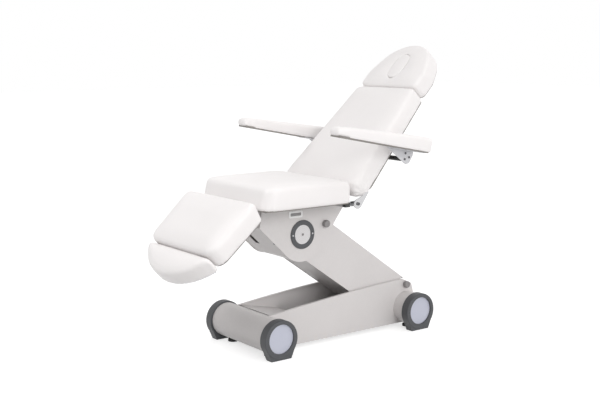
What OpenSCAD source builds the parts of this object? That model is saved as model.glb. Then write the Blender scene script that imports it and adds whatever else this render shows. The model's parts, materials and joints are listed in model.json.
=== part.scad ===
// Podiatry chair: a three-motor treatment chair on a steel base.
// Millimetres. X is the width, -Y the foot end, +Y the head end, Z is up, the floor is Z = 0.

/* [Base] */
// Distance between the front and the rear foot centres
foot_pitch = 940; // [900:10:980]
// Height of the foot centres above the floor
foot_height = 107; // [105:1:112]
// Radius of the round part of a foot
foot_radius = 99; // [97:1:101]
// Thickness of a foot, across the chair
foot_thickness = 50; // [40:1:60]
// Half the length of the flat that a foot stands on
foot_flat = 60; // [50:1:70]
// Width of the base over the outer faces of its feet
base_width = 550; // [520:10:600]
// Radius of the pale disc in a foot
disc_radius = 75; // [65:1:80]
// Depth of the pale disc below the face of its foot
disc_recess = 9; // [4:1:14]
// Radius of the two cross drums
drum_radius = 88; // [82:1:92]
// Wall of the cross drums
drum_wall = 4; // [2:0.5:6]
// Width of the tub over its side panels
tub_width = 300; // [296:1:302]
// Thickness of the folded steel sheet
sheet = 3; // [2:0.5:4]
// Width of the folded rim of a side panel
rim_width = 12; // [8:1:13]
// Height of the rim at the front drum
rim_front_height = 194; // [190:1:194]
// Height of the rim at the lift arm's lower end
rim_rear_height = 265; // [255:1:275]
// Rise of the rim's arch over its straight chord
rim_arch = 9; // [0:1:14]

/* [Lift] */
// Distance between the two pivots of the lift arm
lift_length = 700; // [690:5:710]
// Slope of the lift arm in the drawn position
lift_angle = 34.9; // [33:0.1:35]
// Height of the lift arm's lower pivot
lift_pivot_height = 192.5; // [188:0.5:198]
// Distance of the lift arm's lower pivot behind the middle of the base
lift_pivot_rear = 321; // [315:1:325]
// Rearward offset of the levelling link from the lift arm's pivots
link_offset_rear = 146; // [143:1:149]
// Upward offset of the levelling link from the lift arm's pivots
link_offset_up = 42; // [39:1:44]
// Width of the lift arm over its side plates
arm_width = 260; // [240:2:262]
// Height of the arm's upper edge over its pivot line
arm_rise = 146; // [144:1:148]
// Depth of the arm's lower edge, and of its round upper end, under its pivot line
arm_drop = 95; // [88:1:98]

/* [Carrier] */
// Radius of the round lower end of a carrier plate
carrier_radius = 141; // [138:1:144]
// Distance between the outer faces of the carrier plates
carrier_width = 310; // [308:1:312]
// Height of the upper edge of the carrier plates
carrier_top = 730; // [724:1:734]
// Outer radius of the dark ring cover
ring_radius = 74.5; // [70:0.5:80]
// Radius of the pale disc in the ring cover
ring_disc_radius = 49.5; // [40:0.5:56]
// Radius of a pivot knob
knob_radius = 19; // [15:1:22]
// Height of a pivot knob over its plate
knob_height = 24; // [16:1:28]

/* [Upholstery] */
// Height of the underside of the seat cushion
seat_under = 750; // [746:1:754]
// Thickness of the seat cushion at its sides
seat_thickness = 114; // [98:1:116]
// Length of the seat cushion
seat_length = 528; // [510:1:530]
// Backward lean of the seat cushion's front face, from its foot to its top
seat_front_lean = 26; // [0:1:34]
// Width of the seat, the leg rest and the lower end of the back
pad_width = 610; // [590:5:630]
// Thickness of the back and head cushions
back_thickness = 103; // [88:1:104]
// Distance from the back's hinge to the upper end of the back cushion
back_length = 712; // [690:2:730]
// Width of the upper end of the back cushion
back_top_width = 470; // [440:5:500]
// Length of the head cushion
head_length = 312; // [290:2:330]
// Width of the head cushion
head_width = 450; // [420:5:470]
// Thickness of the leg cushion
leg_thickness = 105; // [90:1:108]
// Thickness of the foot cushion
foot_pad_thickness = 91; // [80:1:105]
// Distance from the leg rest's hinge to the lower end of its cushion
leg_length = 352; // [340:2:376]
// Width of the leg rest's lower end
leg_end_width = 584; // [560:4:610]
// Width of the foot cushion
foot_pad_width = 586; // [556:5:600]
// Length of the foot cushion at its middle
foot_pad_length = 152; // [134:2:164]
// Rise of a cushion's middle over its edges
crown = 8; // [0:1:14]
// Thickness of the plywood boards
board = 12; // [9:1:15]

/* [Pose] */
// Slope of the back over the horizontal
back_angle = 45.5; // [40:0.5:48]
// Slope of the leg rest under the horizontal
leg_angle = 42.3; // [38:0.1:44]
// Slope of the armrests, raised to the front
armrest_angle = 10.8; // [6:0.1:14]

/* [Armrests] */
// Length of an armrest pad
armrest_length = 636; // [604:4:664]
// Width of an armrest pad
armrest_width = 85; // [75:1:95]
// Distance from the middle of the chair to the middle of an armrest
armrest_centre = 401; // [396:1:410]
// Height of an armrest at its rear end, with its board
armrest_rear_height = 78; // [70:1:84]
// Height of an armrest at its front end, with its board
armrest_front_height = 47; // [42:1:56]

/* [Hidden] */
$fn = 64;

// The row's origin lies under the middle of the whole chair, this far in front of the base's
origin_shift = 134.5;
// Running clearance of a pin in its eye, and the gap between curved faces that stay still
running_fit = 0.05;
gap = 0.3;
// Overrun of a cut through its face
over = 1;

// Finishes
powder_coat = [0.83, 0.81, 0.80];
dark_plastic = [0.32, 0.33, 0.35];
pale_disc = [0.78, 0.79, 0.84];
grey_cap = [0.55, 0.54, 0.54];
upholstery = [0.96, 0.955, 0.945];
bright_steel = [0.78, 0.79, 0.80];
black_plastic = [0.10, 0.10, 0.11];
motor_grey = [0.45, 0.46, 0.48];
plywood = [0.80, 0.68, 0.50];

// Base: derived places
foot_y = foot_pitch / 2;
foot_edge = 5;
foot_sink = 4;
foot_middle = foot_height - foot_sink;
spigot_length = 14;
disc_thickness = 4;
panel_bottom = foot_height - drum_radius + 2;
panel_outer = tub_width / 2;
panel_inner = panel_outer - sheet;
drum_end = base_width / 2 - foot_thickness;
rim_rear_y = 448;
shoulder_y = foot_y + 42;
shoulder_height = 235;
cover_drum_angle = 45;
cover_foot_y = foot_y + drum_radius * cos(cover_drum_angle);
cover_foot_height = foot_height + drum_radius * sin(cover_drum_angle);
rim_steps = 8;
ramp_start = 16;
ramp_length = 262;
ramp_angle = 12;
ramp_fold = 40;
pad_radius = 26;
pad_height = 12;
pad_stem = 7;
pad_inset = 60;
control_box_size = [210, 150, 82];
control_box_rear = -215;
inlet_size = [48, 26, 20];
inlet_lip = 4;
inlet_drop = 12;

// Lift: derived places
pivot_y = lift_pivot_rear;
pivot_z = lift_pivot_height;
head_y = pivot_y - lift_length * cos(lift_angle);
head_z = pivot_z + lift_length * sin(lift_angle);
arm_half = arm_width / 2;
arm_shaft = 15;
link_shaft = 12;
hub_radius = 25;
collar_radius = 30;
link_eye = 18;
link_height = 26;
link_width = 40;
link_wall = 3;
link_eye_width = 60;
// The levelling link's lower pivot, seen in the arm's own frame
link_along = link_offset_rear * cos(lift_angle) - link_offset_up * sin(lift_angle);
link_rise = link_offset_rear * sin(lift_angle) + link_offset_up * cos(lift_angle);
heel_radius = 80;
heel_start = 60;
heel_top_along = 62;
top_plate_start = 380;
top_plate_tail = 22;
belly_end = 100;
belly_inset = 3;
neck_rise = 50;
notch_radius = norm([link_offset_rear, link_offset_up]) + link_shaft + 4;
crank_radius = 125;
crank_lean = 10.7;
crank_half_swing = 12.2;
crank_plate = 8;
crank_gap = 44;
crank_pin = 9;
crank_boss = 20;
eye_clearance = 0.8;
lift_line = pivot_z - crank_radius * (1 + cos(crank_half_swing)) / 2;
lift_motor_tail = -180;
lift_tube_radius = 22;
lift_rod_radius = 12;
lift_tube_end = 150;
lift_tube_start = -75;
lift_housing = [84, 90, 74];
lift_motor_offset = 66;
lift_motor_radius = 30;
lift_motor_length = 150;
lift_eye_width = 36;
lift_eye_radius = 22;

// Carrier: derived places
carrier_outer = carrier_width / 2;
carrier_inner = carrier_outer - sheet;
front_tangent = 226;
rear_tangent = -37;
carrier_rear_slope = 53;
carrier_front_y = head_y - 263;
carrier_front_height = head_z + 56.5;
carrier_top_front_y = carrier_front_y + 12;
front_slot_width = 40;
front_slot_x = -45;
front_slot_rise = 43;
ring_height = 5;
ring_edge = 1.5;
ring_screw = 3.5;
badge_size = [85, 34];
badge_height = 2;
badge_rim = 9;
badge_corner = 8;
badge_y = head_y - 42;
badge_z = head_z + 107;

// Seat: derived places
seat_half = pad_width / 2;
seat_front_y = carrier_front_y - 67;
seat_rear_y = seat_front_y + seat_length;
seat_top = seat_under + seat_thickness;
rail_inner = 83;
rail_width = 30;
rail_height = 20;
rail_outer = rail_inner + rail_width;
cross_width = 30;
front_cross_half = 160;
rear_cross_half = 258;
seat_rail_bottom = seat_under - rail_height;
front_cross_y = seat_front_y + 83;
rear_cross_y = seat_rear_y - 20;
cap_length = 24;
ear = 4;
plan_corner = 62;
rear_corner_share = 0.26;
edge_round = 20;
under_round = 7;
slice = 1;
least_corner = 9;
crown_inset = 80;
board_inset = 7;

// Hinges of the back and of the leg rest
back_hinge_y = seat_rear_y + 70;
back_hinge_z = seat_under - 10;
leg_hinge_y = seat_front_y + 27;
leg_hinge_z = seat_under - 12;
hinge_pin = 6;
seat_ear_outer = 254;
back_ear_inner = 270;
ear_radius = 14;
back_ear_radius = 26;
leg_pin = 5;
leg_eye = 10;

// Small motors of the back and of the leg rest
swing_radius = 62;
back_crank_lean = 16.75;
back_half_swing = 28.75;
leg_crank_lean = 7.3;
leg_half_swing = 35;
motor_x = 45;
swing_plate = 6;
swing_gap = 12;
swing_pin = 5;
swing_boss = 12;
motor_rod = 9;
rod_neck = 6;
neck_radius = 4;
motor_tube = 16;
motor_eye = 13;
rod_eye = 15;
rod_reach = 110;
motor_eye_width = 10;
motor_housing = [62, 96, 52];
back_line = back_hinge_z - swing_radius * (1 + cos(back_half_swing)) / 2;
leg_line = leg_hinge_z - swing_radius * (1 + cos(leg_half_swing)) / 2;
back_motor_tail = front_cross_y + cross_width + 30;
back_tube_end = -70;
leg_motor_tail = rear_cross_y - 28;
leg_tube_end = -440;

// Back: places along its own slope, from the hinge
back_under = 8;
back_over = back_under + back_thickness;
back_roll_centre = 62;
back_start = 15;
back_frame_bottom = back_under - rail_height;
back_cross_low = 60;
back_cross_high = 640;
back_rail_end = back_cross_high + cross_width;
back_corner = 48;
armrest_bar_along = 340;
armrest_bar_depth = -35;
armrest_bar_radius = 12;
armrest_bar_half = 326;
armrest_pin = 8;
saddle_width = 30;

// Head rest
head_start = back_length + 4;
head_rod_x = 60;
head_rod_radius = 10;
head_rod_wall = 2;
head_rod_depth = back_under - head_rod_radius - 3;
head_rod_low = 470;
head_rod_high = head_start + 210;
guide_low = 560;
guide_radius = 13;
plug_centre = head_start + 140;
plug_half_width = 50;
plug_half_length = 86;
plug_gap = 1.5;
plug_ledge = 9;
head_straight_share = 0.5;
head_arc_share = 0.42;
head_arc_wide = 0.45;
head_arc_low = 20;

// Leg rest: places along its own slope, from the hinge
leg_under = 12;
leg_over = leg_under + leg_thickness;
leg_start = 42;
leg_frame_bottom = leg_under - 1 - rail_height;
leg_rail_start = 34;
leg_rail_end = 328;
leg_cross_low = 50;
leg_cross_high = 290;
leg_corner = 56;
foot_tube_x = 60;
foot_tube_radius = 9;
foot_tube_depth = leg_under - 1 - foot_tube_radius - 1;
foot_tube_low = 150;
foot_guide_low = 230;
foot_guide_radius = 11;
foot_start = leg_length + 6;
foot_tube_high = foot_start + 60;
bow_blunt_share = 0.96;
bow_flat_share = 0.93;
bow_steps = 7;

// Armrests: places from their pivot, in their own slope
armrest_under = 49;
armrest_rear = 83;
armrest_board = 8;
armrest_board_inset = 2.5;
armrest_plate = 4;
armrest_plate_x = armrest_bar_half + 4;
armrest_tip_radius = 26;
armrest_plate_front = 106;
armrest_plate_rear = 62;
armrest_flange = 90;
armrest_corner = 20;
armrest_edge = 14;
rivet_radius = 4;
rivet_height = 2;
rivet_spacing = 30;

// Frames of reference

module from_base() translate([0, origin_shift, 0]) children();
module in_arm() from_base() translate([0, pivot_y, pivot_z]) rotate([-lift_angle, 0, 0]) children();
module in_back() from_base() translate([0, back_hinge_y, back_hinge_z]) rotate([back_angle, 0, 0]) children();
module in_leg() from_base() translate([0, leg_hinge_y, leg_hinge_z]) rotate([leg_angle, 0, 0]) children();
module in_armrest() in_back() translate([0, armrest_bar_along, armrest_bar_depth])
    rotate([-back_angle - armrest_angle, 0, 0]) children();
module in_rear_cover() from_base() translate([0, shoulder_y, shoulder_height])
    rotate([atan2(cover_foot_height - shoulder_height, cover_foot_y - shoulder_y), 0, 0]) children();
module mirrored(side) mirror([side < 0 ? 1 : 0, 0, 0]) children();

// Shared shapes

// A profile drawn in Y and Z, made solid from one X to another
module slab(from, to) translate([from, 0, 0]) rotate([90, 0, 90]) linear_extrude(to - from) children();

// A round bar along X
module bar(radius, from, to) translate([from, 0, 0]) rotate([0, 90, 0]) cylinder(r = radius, h = to - from);

// A round bar along Y
module rod(radius, from, to) translate([0, from, 0]) rotate([-90, 0, 0]) cylinder(r = radius, h = to - from);

// A block given by its two corners
module block(low, high) translate(low) cube(high - low);

// A disc along X with rounded rims
module round_disc(radius, height, edge) rotate([0, 90, 0]) rotate_extrude() union() {
    square([radius - edge, height]);
    translate([0, edge]) square([radius, height - 2 * edge]);
    translate([radius - edge, edge]) circle(edge, $fn = 24);
    translate([radius - edge, height - edge]) circle(edge, $fn = 24);
}

// A slot with round ends, drawn in Y and Z, longer along Z
module upright_slot(radius, travel) union() {
    translate([0, travel / 2]) circle(radius);
    translate([0, -travel / 2]) circle(radius);
    translate([-radius, -travel / 2]) square([2 * radius, travel]);
}

// A rectangle with round corners
module round_plan(low, high, corner) union() {
    translate([low[0] + corner, low[1]]) square([high[0] - low[0] - 2 * corner, high[1] - low[1]]);
    translate([low[0], low[1] + corner]) square([high[0] - low[0], high[1] - low[1] - 2 * corner]);
    for (x = [low[0] + corner, high[0] - corner], y = [low[1] + corner, high[1] - corner])
        translate([x, y]) circle(corner);
}

// Levels of a padded block: share of the edge's radius taken off, and share of it below the top
edge_shares = [[0, 1], [0.12, 0.5], [0.5, 0.12], [1, 0]];

// One thin level of a cushion: its plan, smaller all round by an inset, at its height
module level($inset, $height) translate([0, 0, $height]) linear_extrude(slice) children();

// A crowned cushion over the plan that is its child, from one height to another
module padded(low, high, crown_inset) hull() {
    level(under_round, low) children();
    level(0, low + under_round) children();
    for (s = edge_shares) level(edge_round * s[0], high - slice - edge_round * s[1]) children();
    level(crown_inset, high + crown - slice) children();
}

// A round corner of a plan: the corner it rounds, the way it points and its radius
module corner_circle(x, y, way_x, way_y, corner) {
    reach = max(corner, $inset + least_corner);
    translate([x - way_x * reach, y - way_y * reach]) circle(reach - $inset, $fn = 24);
}

// The plan that is its child, filled in and smaller all round by an inset
module filled($inset, $height = 0) hull() children();

// Base

// Outline of a foot about its middle, a little below its disc: a circle that runs into a flat
module foot_outline(shrink) {
    tangent = acos(foot_radius / norm([foot_flat, foot_middle])) - atan2(foot_middle, foot_flat);
    side_y = (foot_radius - shrink) * cos(tangent);
    side_z = (foot_radius - shrink) * sin(tangent);
    polygon([[-foot_flat, -foot_middle], [foot_flat, -foot_middle], [side_y, side_z], [-side_y, side_z]]);
}

module foot(side, end) color(dark_plastic) from_base() mirrored(side)
    translate([drum_end, end * foot_y, foot_height]) difference() {
        union() {
            translate([0, 0, -foot_sink]) {
                round_disc(foot_radius, foot_thickness, foot_edge);
                slab(foot_edge / 2, foot_thickness - foot_edge / 2) foot_outline(foot_edge / 2);
            }
            bar(drum_radius - drum_wall - gap, -spigot_length, foot_edge);
        }
        bar(disc_radius + gap, foot_thickness - disc_recess - disc_thickness, foot_thickness + over);
    }

module foot_discs() color(pale_disc) from_base() for (side = [-1, 1], end = [-1, 1]) mirrored(side)
    translate([drum_end + foot_thickness - disc_recess - disc_thickness, end * foot_y, foot_height])
        bar(disc_radius, 0, disc_thickness);

module cross_drums() color(powder_coat) from_base() for (end = [-1, 1])
    translate([0, end * foot_y, foot_height]) difference() {
        bar(drum_radius, -drum_end, drum_end);
        bar(drum_radius - drum_wall, -drum_end - over, drum_end + over);
    }

// Points of the arched rim, from the front drum to the lift arm's lower end
rim_points = [for (i = [0:rim_steps]) let (t = i / rim_steps) [
    -foot_y + t * (foot_y + rim_rear_y),
    rim_front_height + t * (rim_rear_height - rim_front_height) + rim_arch * 4 * t * (1 - t)
]];
rear_points = [[shoulder_y, shoulder_height], [cover_foot_y, cover_foot_height]];

module panel_outline() polygon(concat(rim_points, rear_points,
    [[foot_y, panel_bottom], [-foot_y, panel_bottom]]));

module rim_outline() polygon(concat(rim_points, [[shoulder_y, shoulder_height], [shoulder_y, shoulder_height - sheet]],
    [for (i = [rim_steps:-1:0]) rim_points[i] - [0, sheet]]));

module base_panel(side) color(powder_coat) from_base() mirrored(side) difference() {
    union() {
        slab(panel_inner, panel_outer) panel_outline();
        slab(panel_outer - rim_width - sheet, panel_outer - sheet / 2) rim_outline();
    }
    for (end = [-1, 1]) translate([0, end * foot_y, foot_height]) bar(drum_radius + gap / 2, 0, base_width);
    translate([0, pivot_y + link_offset_rear, pivot_z + link_offset_up]) bar(link_shaft + running_fit, 0, base_width);
}

module base_floor() color(powder_coat) from_base() difference() {
    block([-panel_inner, -foot_y, panel_bottom], [panel_inner, foot_y, panel_bottom + sheet]);
    for (end = [-1, 1]) translate([0, end * foot_y, foot_height])
        bar(drum_radius + gap / 2, -base_width, base_width);
}

// The sloping plate between the front drum and the tub, with its folded end
module front_ramp() color(powder_coat) from_base()
    translate([0, -foot_y, foot_height]) rotate([-ramp_angle, 0, 0])
        translate([0, 0, drum_radius + sheet]) slab(-panel_inner, panel_inner) polygon([
            [ramp_start, 0], [ramp_length, 0], [ramp_length, -ramp_fold], [ramp_length - sheet, -ramp_fold],
            [ramp_length - sheet, -sheet], [ramp_start, -sheet]
        ]);

module rear_cover() color(powder_coat) difference() {
    in_rear_cover() block(
        [-panel_inner, 2 * sheet, -sheet],
        [panel_inner, norm([cover_foot_y - shoulder_y, cover_foot_height - shoulder_height]) - 2 * sheet - gap, 0]);
    in_rear_cover() block([-inlet_size[0] / 2, inlet_drop, -sheet - over],
        [inlet_size[0] / 2, inlet_drop + inlet_size[1], over]);
}

module mains_inlet() color(black_plastic) in_rear_cover() difference() {
    union() {
        block([-inlet_size[0] / 2, inlet_drop, -inlet_size[2]],
            [inlet_size[0] / 2, inlet_drop + inlet_size[1], inlet_lip]);
        block([-inlet_size[0] / 2 - inlet_lip, inlet_drop - inlet_lip, 0],
            [inlet_size[0] / 2 + inlet_lip, inlet_drop + inlet_size[1] + inlet_lip, inlet_lip]);
    }
    block([-inlet_size[0] / 2 + inlet_lip, inlet_drop + inlet_lip, -inlet_size[2] + inlet_lip],
        [inlet_size[0] / 2 - inlet_lip, inlet_drop + inlet_size[1] - inlet_lip, inlet_lip + over]);
}

module support_pads() color(black_plastic) from_base() for (side = [-1, 1], end = [-1, 1])
    translate([side * (drum_end - pad_inset), end * foot_y, 0]) {
        cylinder(r = pad_radius, h = pad_height);
        cylinder(r = pad_stem, h = foot_height - drum_radius - gap);
    }

module control_box() color(black_plastic) from_base()
    translate([-control_box_size[0] / 2, control_box_rear - control_box_size[1], panel_bottom + sheet])
        linear_extrude(control_box_size[2])
            round_plan([0, 0], [control_box_size[0], control_box_size[1]], foot_edge * 2);

// The lift arm's lower shaft with its two collars, and the levelling link's lower shaft
module lower_shafts() color(bright_steel) from_base() {
    translate([0, pivot_y, pivot_z]) {
        bar(arm_shaft, -panel_inner, panel_inner);
        for (side = [-1, 1]) mirrored(side) bar(collar_radius, arm_half + sheet, panel_inner);
    }
    translate([0, pivot_y + link_offset_rear, pivot_z + link_offset_up]) bar(link_shaft, -panel_outer, panel_outer);
}

module lower_knobs() color(grey_cap) from_base() for (side = [-1, 1]) mirrored(side)
    translate([panel_outer, pivot_y + link_offset_rear, pivot_z + link_offset_up])
        round_disc(knob_radius, knob_height, foot_edge / 2);

// Lift motor: tail eye, gear housing, guide tube and the motor beside them
module lift_motor() color(motor_grey) from_base() translate([0, 0, lift_line]) difference() {
    union() {
        translate([0, lift_motor_tail, 0]) bar(lift_eye_radius, -lift_eye_width / 2, lift_eye_width / 2);
        block([-lift_eye_width / 2, lift_motor_tail, -lift_eye_radius],
            [lift_eye_width / 2, lift_tube_start - lift_housing[1] + over, lift_eye_radius]);
        block([-lift_housing[0] / 2, lift_tube_start - lift_housing[1], -lift_housing[2] / 2],
            [lift_motor_offset, lift_tube_start, lift_housing[2] / 2]);
        rod(lift_tube_radius, lift_tube_start - over, lift_tube_end);
        translate([lift_motor_offset, 0, 0])
            rod(lift_motor_radius, lift_tube_start - lift_housing[1], lift_tube_start + lift_motor_length);
        for (side = [-1, 1]) mirrored(side) translate([0, lift_motor_tail, 0]) {
            bar(crank_boss, lift_eye_width / 2, crank_gap / 2 + crank_plate);
            block([lift_eye_width / 2 + over, -crank_boss, panel_bottom + sheet - lift_line],
                [crank_gap / 2 + crank_plate, crank_boss, 0]);
        }
    }
    rod(lift_rod_radius + gap, lift_tube_start, lift_tube_end + over);
}

// Where the lift rod's eye lies at rest, so that its straight-line law stays nearest the crank's arc
function straight_law(radius, lean, half_swing) =
    radius * sin(half_swing) / (half_swing * PI / 180) * lean * PI / 180;

module lift_rod() color(bright_steel) from_base()
    translate([0, pivot_y - straight_law(crank_radius, crank_lean, crank_half_swing), lift_line]) difference() {
        union() {
            rod(lift_rod_radius, lift_tube_start + 2 * lift_eye_radius - pivot_y, 0);
            bar(lift_eye_radius, -lift_eye_width / 2, lift_eye_width / 2);
        }
        slab(-lift_eye_width, lift_eye_width)
            upright_slot(crank_pin + eye_clearance, crank_radius * (1 - cos(crank_half_swing)));
    }

// Lift arm, in its own slope: Y = 0 at the lower pivot and -lift_length at the upper one

module arm_outline() {
    difference() {
        polygon([
            [-lift_length, -arm_drop], [-heel_start, -arm_drop], [0, -heel_radius], [heel_radius, 0],
            [heel_top_along, arm_rise],
            [-lift_length, arm_rise]
        ]);
        translate([-lift_length, 0]) circle(notch_radius);
    }
    intersection() {
        translate([-lift_length, 0]) circle(notch_radius + over);
        translate([-lift_length, -arm_drop]) square([notch_radius + over, arm_drop + neck_rise]);
    }
    circle(heel_radius);
    translate([-lift_length, 0]) circle(arm_drop);
}

module arm_side(side) color(powder_coat) in_arm() mirrored(side) difference() {
    slab(arm_half - sheet, arm_half) arm_outline();
    for (along = [0, -lift_length]) translate([0, along, 0]) bar(arm_shaft + running_fit, 0, arm_width);
}

module arm_top_plate() color(powder_coat) in_arm() block(
    [-arm_half + sheet, top_plate_start - lift_length, arm_rise - sheet],
    [arm_half - sheet, heel_top_along + top_plate_tail, arm_rise]);

module arm_belly_plate() color(powder_coat) in_arm() block(
    [-arm_half + sheet, -lift_length, -arm_drop + belly_inset],
    [arm_half - sheet, -belly_end, -arm_drop + belly_inset + sheet]);

// Lower hub tube with the two crank plates and their pin
module arm_crank() color(bright_steel) in_arm() difference() {
    union() {
        bar(hub_radius, -arm_half + sheet, arm_half - sheet);
        rotate([lift_angle - crank_lean, 0, 0]) for (side = [-1, 1]) mirrored(side)
            slab(crank_gap / 2, crank_gap / 2 + crank_plate) {
                translate([0, -crank_radius]) circle(crank_boss);
                translate([-crank_boss, -crank_radius]) square([2 * crank_boss, crank_radius]);
            }
        rotate([lift_angle - crank_lean, 0, 0]) translate([0, 0, -crank_radius])
            bar(crank_pin, -crank_gap / 2 - crank_plate, crank_gap / 2 + crank_plate);
    }
    bar(arm_shaft + running_fit, -arm_width, arm_width);
}

module arm_head_hub() color(bright_steel) in_arm() translate([0, -lift_length, 0]) difference() {
    bar(hub_radius, -arm_half + sheet, arm_half - sheet);
    bar(arm_shaft + running_fit, -arm_width, arm_width);
}

module levelling_link() color(bright_steel) in_arm() translate([0, link_along, link_rise]) difference() {
    union() {
        block([-link_width / 2, -lift_length, -link_height / 2], [link_width / 2, 0, link_height / 2]);
        for (along = [0, -lift_length]) translate([0, along, 0])
            bar(link_eye, -link_eye_width / 2, link_eye_width / 2);
    }
    block([-link_width / 2 + link_wall, -lift_length + link_eye, -link_height / 2 + link_wall],
        [link_width / 2 - link_wall, -link_eye, link_height / 2 - link_wall]);
    for (along = [0, -lift_length]) translate([0, along, 0]) bar(link_shaft + running_fit, -arm_width, arm_width);
}

// Carrier

// Corners of a carrier plate, from its rear top corner to its rear tangent point
rear_tangent_y = head_y + carrier_radius * cos(rear_tangent);
rear_tangent_z = head_z + carrier_radius * sin(rear_tangent);
front_tangent_y = head_y + carrier_radius * cos(front_tangent);
front_tangent_z = head_z + carrier_radius * sin(front_tangent);
carrier_points = [
    [rear_tangent_y + (carrier_top - rear_tangent_z) / tan(carrier_rear_slope), carrier_top],
    [carrier_top_front_y, carrier_top], [carrier_front_y, carrier_front_height],
    [front_tangent_y, front_tangent_z], [head_y, head_z], [rear_tangent_y, rear_tangent_z]
];

module carrier_outline() {
    polygon(carrier_points);
    translate([head_y, head_z]) intersection() {
        circle(carrier_radius);
        translate([-carrier_radius, -carrier_radius]) square([2 * carrier_radius, carrier_radius]);
    }
}

module carrier_plate(side) color(powder_coat) from_base() mirrored(side) difference() {
    slab(carrier_inner, carrier_outer) carrier_outline();
    translate([0, head_y + link_offset_rear, head_z + link_offset_up]) bar(link_shaft + running_fit, 0, carrier_width);
}

// The bent sheet between the plates' front edges, with the slot for the leg rest's rod
cover_steps = 8;
cover_arc = [for (i = [0:cover_steps]) let (a = front_tangent + (270 - front_tangent) * i / cover_steps)
    [cos(a), sin(a)]];
// Share by which the bent sheet's inner face lies nearer the pivot than the plates' edge
function cover_line(inset) = concat(
    [[carrier_top_front_y + inset, carrier_top], [carrier_front_y + inset, carrier_front_height + inset / 2]],
    [for (p = cover_arc) [head_y, head_z] + (carrier_radius - inset) * p]);
function reversed(list) = [for (i = [len(list) - 1:-1:0]) list[i]];

module carrier_front_cover() color(powder_coat) from_base() difference() {
    slab(-carrier_inner, carrier_inner)
        polygon(concat(cover_line(sheet), reversed(cover_line(2 * sheet))));
    translate([front_slot_x - front_slot_width / 2, carrier_front_y - over,
        front_tangent_z + front_slot_rise])
        cube([front_slot_width, front_tangent_y - carrier_front_y,
            carrier_top - 3 * sheet - front_tangent_z - front_slot_rise]);
}

module upper_shafts() color(bright_steel) from_base() {
    translate([0, head_y, head_z]) {
        bar(arm_shaft, -carrier_inner, carrier_inner);
        for (side = [-1, 1]) mirrored(side) bar(collar_radius, arm_half + sheet, carrier_inner);
    }
    translate([0, head_y + link_offset_rear, head_z + link_offset_up]) bar(link_shaft, -carrier_outer, carrier_outer);
}

module upper_knobs() color(grey_cap) from_base() for (side = [-1, 1]) mirrored(side)
    translate([carrier_outer, head_y + link_offset_rear, head_z + link_offset_up])
        round_disc(knob_radius, knob_height, foot_edge / 2);

module ring_covers() color(dark_plastic) from_base() for (side = [-1, 1]) mirrored(side)
    translate([carrier_outer, head_y, head_z]) difference() {
        union() {
            round_disc(ring_radius, ring_height, ring_edge);
            for (end = [-1, 1]) translate([0, end * (ring_radius + ring_disc_radius) / 2, 0])
                bar(ring_screw, 0, ring_height + ring_edge / 2);
        }
        bar(ring_disc_radius + gap, -over, ring_height + over);
    }

module ring_discs() color(pale_disc) from_base() for (side = [-1, 1]) mirrored(side)
    translate([carrier_outer, head_y, head_z]) {
        bar(ring_disc_radius, 0, ring_height - ring_edge);
        bar(ring_screw, 0, ring_height - ring_edge / 2);
    }

module badge_frame() color(upholstery) from_base() translate([0, badge_y, badge_z])
    slab(carrier_outer, carrier_outer + badge_height) difference() {
        round_plan(-badge_size / 2, badge_size / 2, badge_corner);
        round_plan(-badge_size / 2 + [badge_rim, badge_rim], badge_size / 2 - [badge_rim, badge_rim],
            badge_corner - badge_rim / 2);
    }

// Seat

// Place of each cross tube and half its length
cross_tubes = [[front_cross_y, front_cross_half], [rear_cross_y, rear_cross_half]];

// A pair of bracket plates that hang a motor's tail eye from a cross tube
module tail_bracket(x, tube_y, tail_y, line) for (side = [-1, 1]) translate([x, 0, 0]) mirrored(side)
    slab(swing_gap / 2, swing_gap / 2 + swing_plate) {
        polygon([
            [tube_y, seat_rail_bottom + over], [tube_y + cross_width, seat_rail_bottom + over],
            [tail_y + motor_eye, line], [tail_y - motor_eye, line]
        ]);
        translate([tail_y, line]) circle(motor_eye);
    }

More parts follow.
